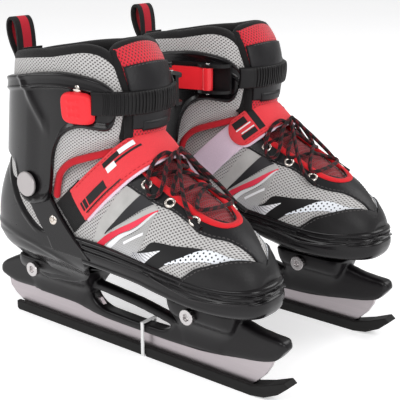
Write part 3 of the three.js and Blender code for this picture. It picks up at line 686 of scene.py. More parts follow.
lace = {
    "diameter": 3.2,
    "bow": [(92, -27, 128), (83, -26, 133), (73, -22, 144), (62, -13, 158), (50, -3, 172), (50, -13, 166),
            (54, -23, 153), (54, -29, 146), (49, -32, 145), (43, -28, 153), (41, -18, 166), (44, -9, 172),
            (46, -3, 169), (44, -8, 165), (40, -14, 164), (37, -19, 162)],
    "cross": [(40, -22, 157), (44, -16, 158), (52, 0, 157), (58, 16, 150), (62, 21, 145), (66, 15, 145),
              (72, 0, 146), (79, -15, 141), (84, -19, 139), (88, -12, 138), (88, 12, 136.5), (84, 19, 136),
              (79, 15, 140), (72, 0, 151), (66, -15, 148), (62, -21, 146), (58, -16, 151), (52, 0, 161),
              (44, 16, 156), (40, 22, 154)],
    "steps": 460, "core": 60,
    "aglet": 12, "agletWall": 0.25,
}


# a round tube along the route; the bow's other half is the first one turned over, from its end to its start
def makeLaces():
    other = [(x, -y, z) for x, y, z in lace["bow"]][::-1]
    route = curve(lace["bow"] + lace["cross"] + other, lace["steps"])
    tube = tubeOf(route, lace["diameter"] / 2, n=10, core=lace["core"])
    for side in sides:
        piece = onBody(make("lace", side, tube, laceBraid), side, "front", ["laces"])
        reach = np.linalg.norm(np.diff(route, axis=0), axis=1)[0]
        count = int(lace["aglet"] / reach)
        for end, stretch in (("start", route[:count]), ("end", route[-count:])):
            sleeve = tubeOf(stretch, lace["diameter"] / 2 + lace["agletWall"], n=12, core=lace["core"])
            tip = make(f"aglet_{end}", side, sleeve, strapBlack)
            onBody(tip, side, "front")


makeLaces()


# upper: the grey mesh of foot and ankle, each side a skin from under the shells up to its top line

upper = {
    "heel": -128, "length": 264.9, "low": -0.84, "under": -3.2, "thick": 3.4, "edge": 1.5,
    "top": [(-128, 0.3), (-100, 0.42), (-60, 0.44), (-44, 0.46), (-11, 0.54), (10, 0.58), (22, 0.62),
            (62, 0.68), (84, 0.7), (94, 0.76), (100, 0.87), (104, 1), (136.9, 1)],
}


# columns from heel to toe, closer at both ends: a quarter of the way even, three quarters as a cosine goes
def makeUpper():
    share = np.linspace(0, 1, 150)
    x = upper["heel"] + upper["length"] * (0.25 * share + 0.75 * (1 - np.cos(np.pi * share)) / 2)
    top = along(upper["top"], x)
    v = upper["low"] + (top - upper["low"])[:, None] * borderShares(40, 90, upper["edge"])
    u = np.broadcast_to(x[:, None], v.shape)
    halves = [skin(oneSide(footPoint, s), u, v, upper["under"], upper["thick"], upper["edge"], lining=1)
              for s in (-1, 1)]
    build("upper", joined(halves), [meshGrey, liningBlack], "upper", ["boot_lower", "vamp"])


# films and leather on the upper: each between a low and a high edge of (x, w) points, on both sides
overlays = {
    "band_grey": dict(low=[(8, -0.5), (11, -0.2), (24, 0.02), (36, 0.24), (46, 0.46)],
                      high=[(-6, -0.4), (1, -0.11), (10, 0.06), (19, 0.23), (27, 0.41)],
                      over=0.15, thick=0.5, look=overlayGrey, slot="grey_mesh"),
    "wedge": dict(low=[(8, -0.25), (26, 0.06), (40, 0.27), (52, 0.47)],
                  high=[(7, -0.25), (22, 0.07), (32, 0.26), (40, 0.46)],
                  over=0.7, thick=0.3, look=fadeBlack, slot="black_leather"),
    "band_thin": dict(low=[(-4, -0.42), (22, -0.04), (41, 0.2), (57, 0.44)],
                      high=[(2, -0.42), (27, 0.06), (41, 0.27), (53, 0.47)],
                      over=0.2, thick=0.45, look=overlayGrey, slot="grey_mesh"),
    "stripe_red": dict(low=[(-3, -0.6), (22, -0.13), (42, 0.16), (57, 0.43)],
                       high=[(-6, -0.5), (22, -0.03), (41, 0.21), (57, 0.45)],
                       over=0.5, thick=0.35, look=inkRed, slot="red_webbing"),
    "stripe_white": dict(low=[(6, -0.6), (26, -0.14), (46, 0.18), (57, 0.42)],
                         high=[(0, -0.6), (22, -0.14), (42, 0.15), (56, 0.42)],
                         over=0.5, thick=0.3, look=inkWhite, slot="grey_mesh"),
    "fade_grey": dict(low=[(38, -0.6), (43, -0.2), (48, 0.02), (53, 0.2), (56, 0.4)],
                      high=[(4, -0.6), (14, -0.4), (26, -0.15), (46, 0.17), (55, 0.4)],
                      over=0.25, thick=0.3, look=greyFade, slot="grey_mesh"),
    # a thin white strip where the glossy film shows a highlight: a painted highlight, not a print
    "painted_highlight_bar": dict(low=[(29, -0.2), (49, 0.12)], high=[(28, -0.17), (49, 0.15)],
                      over=0.6, thick=0.25, look=inkWhite, slot="grey_mesh", straight=True),
    "print_black": dict(low=[(34, -0.62), (48, -0.58), (58, -0.42), (71, -0.09), (84, 0.12), (99, 0.36)],
                        high=[(43, -0.17), (50, -0.03), (57, 0.1), (66, 0.16), (78, 0.22), (99, 0.38)],
                        over=0.25, thick=0.4, look=inkBlack, slot="black_leather"),
    "flash": dict(low=[(35, -0.5), (47, -0.38), (56, -0.14), (66, 0.07)],
                  high=[(38, -0.22), (44, -0.17), (54, -0.04), (66, 0.08)],
                  over=0.7, thick=0.25, look=inkFlash, slot="grey_mesh"),
    "print_white": dict(low=[(71, -0.1), (90, 0.12), (103, 0.24), (112, 0.3), (122, 0.44), (130, 0.78)],
                        high=[(70, -0.09), (84, 0.13), (99, 0.37), (105, 0.43), (118, 0.52), (130, 0.82)],
                        over=0.45, thick=0.4, look=inkDotted, slot="grey_mesh"),
    "eyestay": dict(low=[(24, 0.38), (37, 0.44), (55, 0.49), (67, 0.54), (81, 0.54), (91, 0.52), (101, 0.58),
                         (110, 0.69), (119, 0.77), (125, 0.82), (131, 0.84), (132.6, 0.93), (133.4, 0.99)],
                    high=[(20, 0.64), (35, 0.68), (62, 0.71), (76, 0.72), (87, 0.75), (95, 0.82), (102, 0.94),
                          (106, 1), (116, 1), (124, 1), (131, 1), (133.4, 1)],
                    over=0.3, thick=1.1, look=leatherBlack, slot="black_leather", openTop=True),
    "toe_cap": dict(low=[(74, -0.55), (90, -0.75), (106, -0.8), (122, -0.85), (133, -0.85), (136.9, -0.85)],
                    high=[(81, -0.36), (89, -0.1), (96, 0.08), (104, 0.19), (114, 0.36), (124, 0.6),
                          (131, 0.84), (132.6, 0.94), (133.4, 1), (136.9, 1)],
                    over=0.4, thick=1.3, look=toeLeather, slot="black_leather", openTop=True),
}
overlayEdge = 0.8  # widest rounding of their borders


# a panel on each side; one with an open top runs into the other side's over the middle, with no border
def makeOverlays():
    for name, o in overlays.items():
        halves = [panel(oneSide(footPoint, s), o["low"], o["high"], o["over"], o["thick"],
                        edge=min(overlayEdge, o["thick"]), straight=o.get("straight", False),
                        openTop=o.get("openTop", False)) for s in (-1, 1)]
        build(name, joined(halves), o["look"], "upper")


# rows of thread on the overlays: (x, w) points and how far above the form
seams = {
    "eyestay": ([(27, 0.42), (38, 0.465), (55, 0.51), (67, 0.56), (81, 0.56), (91, 0.545), (101, 0.6),
                 (110, 0.71), (119, 0.79), (125, 0.84)], 1.45),
    "toe": ([(83, -0.42), (90, -0.13), (97, 0.05), (105, 0.165), (114.5, 0.33), (124.5, 0.56),
             (130.5, 0.78)], 1.75),
    "throat": ([(30, 0.645), (50, 0.66), (62, 0.67), (76, 0.68), (88, 0.71), (96, 0.78), (103, 0.9)], 1.45),
}


# threads along each line on both sides, with their backs to the form
def makeSeams():
    rows = []
    for points, above in seams.values():
        x, w = curve(points, 300).T
        for s in (-1, 1):
            path = footPoint(x, w, above, s)
            rows.append(stitches(path, footPoint(x, w, above + 1, s) - path))
    build("seams", joined(rows), threadPale, "upper")


# eyelets: a turned ring and a dark floor on the eyestay
eyelets = {
    "spots": [(41, 0.575), (63, 0.595), (85, 0.605)], "above": 1.4, "lift": 0.35,
    "ring": [(2.1, -0.6), (2.1, 0.5), (2.5, 1.0), (3.3, 1.15), (4.0, 0.9), (4.3, 0.2), (4.3, -0.6),
             (2.1, -0.6)],
    "hole": [(0, 0.25), (2.2, 0.25), (2.2, -0.5), (0, -0.5)],
}


# each stands square to the surface: its axis is the cross product of two short steps on the form
def makeEyelets():
    rings, holes = [], []
    for x, w in np.array(eyelets["spots"], float):
        for s in (-1, 1):
            centre, ahead, upward = (footPoint(x + dx, w + dw, eyelets["above"], s)
                                     for dx, dw in ((0, 0), (1, 0), (0, 0.02)))
            away = s * np.cross(upward - centre, ahead - centre)
            centre = centre + away / np.linalg.norm(away) * eyelets["lift"]
            rings.append(turned(eyelets["ring"], centre, away, 26))
            holes.append(turned(eyelets["hole"], centre, away, 20))
    build("eyelets", joined(rings), eyeletNickel, "front", crease=70)
    build("eyelet_holes", joined(holes), liningBlack, "front")


# red edging round the throat: a flattened tube from one side round its front to the other
edging = {
    "line": [(20, 20.5), (35, 19.5), (52, 18.5), (70, 18), (86, 16.8), (96, 13), (102, 7.5), (104, 0)],
    "radius": 3.0, "flat": 0.62, "above": 0.9, "core": 90,
}


# point on top of the foot form at x and y: the widest height, and the rise there as an ellipse has it
def footTop(x, y, grow):
    half, middle, up, down, sweep = footSection(x, grow)
    z = middle + up * np.sqrt(np.maximum(1 - (y / np.maximum(half, 1e-6)) ** 2, 0))
    return np.stack(np.broadcast_arrays(x * 1.0, y - sweep, z), -1)


def makeEdging():
    line = np.array(edging["line"], float)
    x, y = curve(np.concatenate([line * [1, -1], line[-2::-1]]), 150).T
    path = footTop(x, y, edging["above"])
    tube = tubeOf(path, edging["radius"], 14, edging["flat"], edging["core"], taper=5)
    build("edging", tube, edgingRed, "upper")


lowerTongue = {"start": 6, "stop": 103, "tip": 104.5, "tipLength": 16, "half": 19, "under": -7, "thick": 5.4,
               "edge": 4, "rib": 0.35, "pitch": 3.6}


# lower tongue: a strip in the throat on the foot form, with sewn ribs across it as a sine along x; its
# half width falls with the root of the distance to its tip
def makeTongueLower():
    t = lowerTongue
    x = np.linspace(t["start"], t["stop"], 150)[:, None]
    across = np.linspace(-1, 1, 30)[None, :]
    y = t["half"] * np.sqrt(np.clip((t["tip"] - x) / t["tipLength"], 0, 1)) * across
    ribs = t["rib"] * np.sin(x * 2 * np.pi / t["pitch"]) + 0 * y
    part = skin(footTop, np.broadcast_to(x, y.shape), y, t["under"], t["thick"], t["edge"], relief=ribs)
    pieces = build("tongue_lower", part, meshDeepRed, "upper", ["tongue_lower"])


makeUpper()
makeOverlays()
makeSeams()
makeEyelets()
makeEdging()
makeTongueLower()
print("front of the boot done")


# upper tongue: a strip bent across the shin; its centre line runs down from its top to the instep
tongue = {
    "line": [(13, 252), (17, 247), (22, 240), (26.5, 228), (29, 215), (29, 202), (27.5, 190), (26, 178),
             (27, 168)],
    "half": [(0, 25), (30, 25), (60, 22), (95, 19)], "bend": 42, "thick": 8,
    "rim": [(86, -1), (40, -1), (8, -1), (1, -0.84), (0.2, -0.4), (0, 0), (0.2, 0.4), (1, 0.84), (8, 1),
            (40, 1), (86, 1)],
    "binding": 4.3, "seamDown": 20.6, "seamHalf": 21, "seamAbove": 1.25,
}


# point at a length down the centre line and y across it, stood off square to the line by grow; it falls
# back by the square of y over twice the bend's radius
def tonguePoint(down, y, grow):
    line = curve(tongue["line"], 200)
    reach = np.linspace(0, np.linalg.norm(np.diff(line, axis=0), axis=1).sum(), 200)
    slope = np.gradient(line, axis=0)
    slope /= np.linalg.norm(slope, axis=1, keepdims=True)
    x, z = (np.interp(down, reach, line[:, k]) for k in (0, 1))
    dx, dz = (np.interp(down, reach, slope[:, k]) for k in (0, 1))
    fall = y * y / (2 * tongue["bend"])
    return np.stack([x - dz * (grow - fall), y * (1 + grow / tongue["bend"]), z + dx * (grow - fall)], -1)


# a skin on the tongue between two lengths down it, over a share of its width
def tonguePatch(start, stop, share, low, thick, edge, n=70, m=26, relief=None, both=False):
    down = start + (stop - start) * borderShares(n, stop - start, edge)[:, None]
    across = borderShares(m, 44, edge)[None, :] * 2 - 1
    y = across * along(tongue["half"], down) * share
    down = np.broadcast_to(down, y.shape)
    bulge = relief(down, y) if relief else 0
    return skin(tonguePoint, down, y, low, thick, edge, relief=bulge, both=both)


# the padded strip with a leather panel and a keeper on it, a bound rim and a row of thread
def makeTongueTop():
    thick = tongue["thick"]
    body = tonguePatch(0.5, 88, 1.0, -thick, thick, 4, relief=lambda d, y: 0.5 * np.cos(y / 9), both=True)
    pieces = build("tongue_top", body, meshRed, "ankle", ["tongue_top"])
    cover = tonguePatch(19, 69, 0.93, -0.6, 1.7, 1.2, relief=lambda d, y: 0.4 * np.cos(y / 12))
    build("tongue_panel", cover, leatherBlack, "ankle")
    build("tongue_keeper", tonguePatch(62, 70, 0.6, 0.2, 2.6, 2.4), leatherBlack, "ankle")
    topHalf = tongue["half"][0][1]
    down, y = curve([(a, b * topHalf) for a, b in tongue["rim"]], 240).T
    path = tonguePoint(down, y / topHalf * along(tongue["half"], down), -thick / 2)
    binding = tubeOf(path, tongue["binding"], 12, flat=0.75, core=200, taper=4)
    build("tongue_binding", binding, bindingBlack, "ankle")
    across = np.linspace(-tongue["seamHalf"], tongue["seamHalf"], 120)
    seam = tonguePoint(np.full(120, tongue["seamDown"]), across, tongue["seamAbove"])
    threads = stitches(seam, np.broadcast_to([1.0, 0, 0.3], seam.shape))
    build("tongue_seam", threads, threadPale, "ankle")


# point of the shaft form at x and z on one side; the turn is that of x on the form grown by planGrow
def shaftSidePoint(x, z, grow, side, planGrow=None):
    return shaftPoint(side * shaftTurn(x, z, grow if planGrow is None else planGrow), z, grow)


# collar: a padded ring on the shaft form, open at the tongue; heights of its edges by the turn in degrees
collar = {
    "low": [(29, 172), (40, 172), (50, 169), (60, 165), (68, 161), (76, 154), (81, 146), (85, 138), (92, 133),
            (180, 133)],
    "high": [(29, 222), (31, 230), (34, 236), (38, 240), (44, 243.5), (54, 245.5), (64, 245.5), (82, 242.5),
             (91, 240.5), (105, 238.5), (140, 234), (180, 231)],
    "thick": 9, "edge": 5, "puff": 1.2, "tuck": 5.0,
    "binding": 4.9, "bindingTurn": 30, "bindingLow": 176, "bindingHigh": 226,
}


# turns in degrees from the front round the back to the front, n of them between the given ones, and each
# as it is on the nearer side
def roundTurns(spans):
    half = np.concatenate([np.linspace(a, b, n)[:-1] for a, b, n in spans] + [[180]])
    turn = np.concatenate([half, 360 - half[-2::-1]])
    return turn, 180 - np.abs(180 - turn)


# the pad swells as a sine of its height to a power, and its low edge tucks in under the cuff at the front;
# the binding goes up one front edge, along the top and down the other
def makeCollar():
    turn, folded = roundTurns([(29, 60, 60), (60, 100, 60), (100, 180, 40)])
    low, high = along(collar["low"], folded)[:, None], along(collar["high"], folded)[:, None]
    share = borderShares(44, 90, collar["edge"])
    v = low + (high - low) * share
    u = np.broadcast_to(turn[:, None], v.shape)
    share = (v - low) / (high - low)
    tuck = collar["tuck"] * (1 - smooth(0, 0.16, share)) * (folded < 86)[:, None]
    puff = collar["puff"] * np.sin(np.pi * share) ** 0.7 - tuck
    thick = collar["thick"]
    part = skin(shaftPoint, u, v, -thick, thick, collar["edge"], relief=puff, both=True, lining=1)
    pieces = build("collar", part, [meshGrey, liningBlack], "ankle", ["collar"])
    keep = folded >= collar["bindingTurn"] + 0.5
    rim = shaftPoint(turn[keep], high[keep, 0] - 1.5, -thick / 2)
    z = np.linspace(collar["bindingLow"], collar["bindingHigh"], 40)[:-1]
    edges = [shaftPoint(np.full(len(z), collar["bindingTurn"] * s), z[::s], -thick / 2) for s in (1, -1)]
    path = curve(np.concatenate([edges[0], rim, edges[1]])[::3], 320)
    build("collar_binding", tubeOf(path, collar["binding"], 14, core=150, taper=4), bindingBlack, "ankle")


piping = {"line": [(-44, 127), (-43.4, 132), (-42, 139), (-38, 149), (-28, 157.5), (-14, 163), (2, 168),
                   (14, 172)],
          "radius": 3.0, "flat": 0.8, "above": -2.6, "core": 140}


# a flattened tube on each side of the collar along (x, z) points
def makePiping():
    x, z = curve(piping["line"], 90).T
    tubes = []
    for s in (-1, 1):
        path = shaftSidePoint(x, z, piping["above"], s, 0)
        tubes.append(tubeOf(path, piping["radius"], 12, piping["flat"], piping["core"], taper=4))
    build("piping", joined(tubes), pipingRed, "ankle")


makeTongueTop()
makeCollar()
makePiping()
print("collar and tongue done")


# cuff: a moulded wall on the shaft form; edge heights by the turn, a raised band along its top,
# a sunk panel under it on both sides and a rib down to the pivot
cuff = {
    "low": [(37, 197), (39, 190), (44, 186.5), (56, 187), (66, 187.5), (73, 185.5), (79, 181), (83, 174),
            (85.5, 162), (86, 148), (86, 136), (88, 126), (93, 120.5), (98, 119.5), (104, 121.5),
            (109, 128), (112, 138), (117, 147), (126, 152), (150, 156), (180, 158)],
    "high": [(37, 209), (38.5, 216), (42, 220), (51, 224.5), (67, 227.8), (82, 228.5), (93, 226.5),
             (106, 223.5), (140, 218), (180, 215)],
    "under": 0.5, "thick": 3.4, "edge": 1.8,
    "rows": [0, 0.1, 0.3, 0.7, 1.3, 2, 3, 4.2, 5, 5.7, 6.5, 7.3, 8, 8.8, 9.4, 10, 10.6, 11.2, 11.8, 12.4,
             13, 14],
    "fullHeight": 28, "band": 2.1, "groove": 0.7, "sunk": 1.5, "rib": 1.7, "shoulder": 0.9,
}


# rows follow the top edge down to the foot of the band, and then spread evenly to the lower edge; each
# relief is its height times smooth steps of the turn and of the distance below the top or above the low edge
def makeCuff():
    turn, folded = roundTurns([(37, 78, 90), (78, 118, 150), (118, 180, 60)])
    low, high = along(cuff["low"], folded)[:, None], along(cuff["high"], folded)[:, None]
    fall = np.minimum(1, (high - low) / cuff["fullHeight"])
    rest = np.r_[np.linspace(0.03, 0.95, 40), 0.97, 0.985, 0.993, 0.998, 1]
    bandFoot = high - cuff["rows"][-1] * fall
    v = np.concatenate([high - np.array(cuff["rows"]) * fall, bandFoot - (bandFoot - low) * rest], 1)[:, ::-1]
    u = np.broadcast_to(turn[:, None], v.shape)
    f = folded[:, None]
    below, above = (high - v) / fall, v - low
    raised = cuff["band"] * smooth(13, 9.5, below) - cuff["groove"] * smooth(4, 2, np.abs(below - 6.5))
    sunk = (cuff["sunk"] * smooth(41, 46, f) * smooth(104, 92, f) * smooth(10, 12.5, below)
            * smooth(2.5, 5.5, above))
    rib = (cuff["rib"] * np.exp(-(((v - 190) - (f - 92) * 1.9) / 5.5) ** 2) * smooth(120, 104, f)
           * smooth(88, 92, f))
    shoulder = cuff["shoulder"] * smooth(3, 1.2, np.abs(above - 4)) * smooth(120, 110, f)
    part = skin(shaftPoint, u, v, cuff["under"], cuff["thick"], cuff["edge"],
                relief=raised - sunk + rib + shoulder)
    build("cuff", part, shellBlack, "cuff", ["cuff"])


# anchor cover, its pin and the ribbed ladder strap that runs round the front to the buckle
ladder = {"low": 199, "high": 217, "over": 4.4, "thick": 2.6, "edge": 1.2, "rib": 2.7, "tooth": 0.85,
          "start": -58, "stop": 38}
anchor = {
    "x": -10, "z": 203.3, "halfX": 13, "halfZ": 12, "square": 0.5, "under": 4.2, "height": 4.8,
    "rings": np.r_[np.linspace(0, 0.82, 26), 0.86, 0.91, 0.95, 0.98, 1], "flatTo": 0.78,
    "pip": 0.8, "pipArea": 1.8, "pipX": (-14, -10, -6), "pipZ": (198, 203.5, 209),
    "pin": [(0, 1.6), (2, 1.5), (3.4, 0.9), (4, 0), (4, -1.2), (0, -1.2)], "pinPlace": (-10, 217.5, 4.0),
}


# the strap's teeth are a sine of the length along it, flattened by a smooth step, between its plain edges
def makeLadder():
    low, high = ladder["low"], ladder["high"]
    turn = np.linspace(ladder["start"], ladder["stop"], 420)[:, None]
    share = borderShares(10, high - low, ladder["edge"])[None, :]
    u, v = np.broadcast_arrays(turn, low + (high - low) * share)
    middle = shaftPoint(u[:, 5], v[:, 5], np.full(len(turn), 5.0))
    reach = np.r_[0, np.cumsum(np.linalg.norm(np.diff(middle, axis=0), axis=1))][:, None]
    tooth = smooth(0.0, 0.5, np.sin(reach * 2 * np.pi / ladder["rib"]))
    inside = smooth(low - 0.2, low + 2.2, v) * smooth(high + 0.2, high - 2.2, v)
    inside = inside * smooth(8, 10, reach) * smooth(78, 74, reach)
    part = skin(shaftPoint, u, v, ladder["over"], ladder["thick"], 1.0,
                relief=ladder["tooth"] * (tooth - 0.4) * inside)
    build("ladder_strap", part, strapBlack, "cuff", ["ladder_strap"])


# a superellipse plan whose rim is a quarter circle, with nine pips as bell curves of the distance to each
def makeAnchor():
    angle = np.linspace(0, 2 * np.pi, 72, endpoint=False)[:, None]
    share = anchor["rings"][None, :]
    x = anchor["x"] + anchor["halfX"] * signedPower(np.cos(angle), anchor["square"]) * share
    z = anchor["z"] + anchor["halfZ"] * signedPower(np.sin(angle), anchor["square"]) * share
    rise = np.sqrt(1 - np.clip((share - anchor["flatTo"]) / (1 - anchor["flatTo"]), 0, 1) ** 2)
    pips = sum(anchor["pip"] * np.exp(-(((x - px) ** 2 + (z - pz) ** 2) / anchor["pipArea"]))
               for px in anchor["pipX"] for pz in anchor["pipZ"])
    dome = shaftSidePoint(x, z, anchor["under"] + anchor["height"] * rise + pips, -1)
    back = shaftSidePoint(x, z, anchor["under"] + 0 * x, -1)
    build("anchor_cover", domeOf(dome, back), anchorRed, "cuff", ["strap_anchor"])
    pin = shaftSidePoint(*np.array(anchor["pinPlace"], float), -1)
    build("anchor_pin", turned(anchor["pin"], pin, (0, -1, 0), 24), eyeletNickel, "cuff")


makeCuff()
makeLadder()
makeAnchor()
print("cuff and ladder strap done")


# strap over the instep: rings cut from the foot form by slanted planes square to the band's width

band = {
    "start": (-19, 128), "crest": (33, 177), "middle": 25, "half": 13.6, "thick": 2.6, "edge": 1.2,
    "firstTurn": 218, "lastTurn": 25, "roundEnd": 0.09, "rim": 0.35, "rimInset": 3.2, "seamInset": 2.4,
    # dark and pale marks: first and last turn, low and high edge
    "dark": [(212, 209.5, -8, -1), (208, 203, -8, -1), (201, 166, -8, -1), (210, 146, -10.6, -9.6),
             (150, 112, 2.4, 4.2), (158, 118, 5.6, 9.6), (66, 59, -9, 10), (54, 36, 3, 9.5),
             (57, 38, -9, -4)],
    "pale": [(156, 142, 0.2, 5.0), (134, 116, 5.8, 9.8), (56, 36, 1.0, 2.2), (57, 40, -3.4, -2.2)],
}
bandWay = np.array([band["crest"][0] - band["start"][0], band["crest"][1] - band["start"][1]], float)
bandWay /= np.linalg.norm(bandWay)


# point on the foot in a slanted plane: turn 180 is the inner side, 90 the crest and 0 the outer side, w is
# across the band, and grow stands it off along the direction from the plane's centre
def bandPoint(turn, w, grow):
    turn, w, grow = np.broadcast_arrays(turn * 1.0, w * 1.0, grow * 1.0)
    ax, az = bandWay
    centre = np.stack([band["start"][0] + ax * band["middle"] - az * w, 0 * w,
                       band["start"][1] + az * band["middle"] + ax * w], -1)
    angle = np.radians(turn)
    direction = np.stack([ax * np.sin(angle), np.cos(angle), az * np.sin(angle)], -1)
    on = reachOut(centre, direction, 95)
    return on + direction * grow[..., None]


# a skin over part of the band; onStrap sets it on the strap's face
def bandPatch(start, stop, low, high, over, thick, edge, n=120, m=12, onStrap=False):
    turn = start + (stop - start) * borderShares(n, 90, edge)[:, None]
    w = low + (high - low) * borderShares(m, max(high - low, 4), edge)[None, :]
    turn, w = np.broadcast_arrays(turn, w)
    return skin(bandPoint, turn, w, over + strapFace(turn) if onStrap else over, thick, edge)


# the strap stands off the foot over the tongue and where it lies on the receiver
def lift(turn):
    return 0.9 + 1.3 * smooth(80, 40, turn) + 6 * smooth(160, 112, turn) * smooth(42, 76, turn)


def strapFace(turn):
    return lift(turn) + band["thick"]


# the red strap, its width falling as a quarter ellipse at its free end, on a lilac backing and receiver,
# with its webbing anchor, plain printed marks and two rows of thread
def makeStraps():
    h, edge = band["half"], band["edge"]
    t = borderShares(150, 90, edge)[:, None]
    turn = band["firstTurn"] - (band["firstTurn"] - band["lastTurn"]) * t
    tip = np.clip(1 - (1 - t) / band["roundEnd"], 0, 1)
    w = (-h + 2 * h * borderShares(14, 2 * h, edge)[None, :]) * np.sqrt(np.clip(1 - tip ** 2, 0.0001, 1))
    turn = np.broadcast_to(turn, w.shape)
    rimLine = band["rim"] * smooth(1.2, 0.5, np.abs(np.abs(w) - h + band["rimInset"]))
    red = skin(bandPoint, turn, w, lift(turn), band["thick"], edge, relief=-rimLine)
    build("power_strap", red, strapRed, "upper", ["power_strap"])
    under = skin(bandPoint, turn, w * 1.08 - 0.9, lift(turn) - 0.7, 1.5, 0.8)
    build("strap_backing", under, strapLilac, "upper")
    receiver = bandPatch(44, -50, -h + 1, h - 1, 0.5, 1.6, 0.8)
    build("receiver", receiver, strapLilac, "upper", ["strap_receiver"])
    web = bandPatch(234, 206, -h + 0.5, h + 1.5, 0.4, 1.7, 0.8, n=40)
    build("strap_web", web, webBlack, "upper", ["strap_web"])
    prints = [("strap_print", band["dark"], 0.02, 50, fadeBlack, "red_webbing"),
              ("strap_print_pale", band["pale"], 0.12, 30, inkWhite, "lilac_webbing")]
    for name, marks, over, n, look, slot in prints:
        films = [bandPatch(*mark, over, 0.35, 0.3, n=n, m=5, onStrap=True) for mark in marks]
        build(name, joined(films), look, "upper")
    rows = []
    turn = np.linspace(210, 34, 260)
    for s in (1, -1):
        across = np.full(len(turn), s * (h - band["seamInset"]))
        path = bandPoint(turn, across, strapFace(turn) - 0.15)
        rows.append(stitches(path, bandPoint(turn, across, strapFace(turn) + 1) - path, length=2.6, gap=1.4))
    build("strap_seams", joined(rows), threadRed, "upper")


makeStraps()
print("instep strap done")


# shells: contours of the foot form at each height, met from its axis; under the waist line the contour
# shrinks towards the frame as a hull does

hull = {
    "waist": 84,
    "x": [(46, 0.8), (60, 0.87), (70, 0.94), (84, 1)],
    "y": [(46, 0.53), (56, 0.56), (64, 0.66), (74, 0.9), (84, 1)],
}


# point of a shell: where a level line from the axis meets the foot form at z, or at the waist under it,
# stood off by grow, with x and y then taken by the hull's shares at z
def shellPoint(turn, z, grow, hullX=hull["x"], hullY=hull["y"]):
    turn, z, grow = np.broadcast_arrays(turn * 1.0, z * 1.0, grow * 1.0)
    upperZ = np.maximum(z, hull["waist"])
    centre = np.stack([0 * z, 0 * z, upperZ], -1)
    angle = np.radians(turn)
    direction = np.stack([np.cos(angle), np.sin(angle), 0 * z], -1)
    on = reachOut(centre, direction) + direction * grow[..., None]
    on[..., 0] *= along(hullX, z)
    on[..., 1] *= along(hullY, z)
    on[..., 2] = z
    return on


# pairs of x and the direction from the axis to the outer side point there, in degrees from the toes
def turnsAt(stations):
    x = np.array(stations, float)
    p = sidePoint(x, np.full(len(x), 90.0), 0, 1)
    return x, np.degrees(np.arctan2(p[..., 1], p[..., 0]))


sole = {
    "top": [(-15, 99.5), (5, 99.5), (26, 98.5), (46, 97), (65, 94.5), (82, 92), (102, 90.5), (122, 91.5),
            (138, 93)],
    "low": [(-15, 80), (13, 80), (37, 79.5), (58, 76.5), (80, 72.5), (100, 69.5), (122, 68), (138, 68)],
    "profile": [(0, 1.6), (1.2, 3.6), (3.6, 4.2), (4.6, 3.0), (5.4, 2.9), (6.2, 4.3), (9.0, 4.6), (9.8, 3.2),
                (10.6, 3.3), (12, 4.6), (16, 4.9), (20, 4.4), (27, 3.6)],
    "depth": 26, "stations": (-14.4, 0, 20, 40, 60, 80, 100, 115, 125, 132, 136), "toe": 138,
    "slot": 1.3, "ridge": 0.9, "brow": 0.8, "inside": 0.3, "floor": 3.2, "lowest": 62.2,
    "underShares": [0.99, 0.9, 0.72, 0.5, 0.3, 0.06], "underDrops": [0.4, 2.4, 5.5, 8, 8.6, 8.6],
    "hullX": [(60, 0.9), (66, 0.965), (72, 0.995), (84, 1)],
    "hullY": [(60, 0.5), (64, 0.72), (68, 0.9), (74, 0.98), (84, 1)],
}


# grooves and lips are a profile of the depth under the top edge; slots in a groove and a ridge in a V are
# cut by smooth steps of the turn and the depth; the underside is the low edge drawn in to the middle line
def makeFrontSole():
    xs, turns = turnsAt(sole["stations"])
    turn = turns[0] * np.linspace(1, -1, 321)
    x = np.interp(np.abs(turn), turns[::-1], xs[::-1], left=sole["toe"])[:, None]
    turn = turn[:, None]
    f = np.abs(turn)
    topZ, lowZ = along(sole["top"], x), along(sole["low"], x)
    share = np.linspace(0, 1, 84)[None, :]
    z = lowZ + (topZ - lowZ) * share
    depth = (1 - share) * sole["depth"] + 0 * z
    slots = smooth(0.15, 0.45, np.sin(turn * 0.62)) * smooth(42, 36, f)
    slots = slots * smooth(1.5, 1.0, np.abs(depth - 7.6))
    vee = np.abs(depth - 16 + 0.42 * np.abs(f - 24)) * (f < 42)
    ridge = smooth(1.2, 0.3, vee) * smooth(42, 38, f) * smooth(21, 19, depth)
    brow = smooth(3.2, 0.4, np.abs(23.5 - depth)) * smooth(120, 60, x)
    relief = sole["ridge"] * ridge + sole["brow"] * brow - sole["slot"] * slots
    outer, inner = (shellPoint(turn, z, grow, sole["hullX"], sole["hullY"])
                    for grow in (along(sole["profile"], depth) + relief, sole["inside"]))
    rows = np.array(sole["underShares"])[None, :, None]
    under = outer[:, :1] * np.concatenate([0.3 + 0.7 * rows, rows, 0 * rows], -1)
    drop = np.array(sole["underDrops"])[None, :] * (0.3 + 0.7 * smooth(14, 56, x))
    under[..., 2] = np.maximum(lowZ - drop, sole["lowest"])
    under = under[:, ::-1]
    outer = np.concatenate([under, outer], 1)
    inner = np.concatenate([under + [0, 0, sole["floor"]], inner], 1)
    build("front_sole", wallOf(outer, inner), shellBlack, "front", ["front_sole"], crease=40)


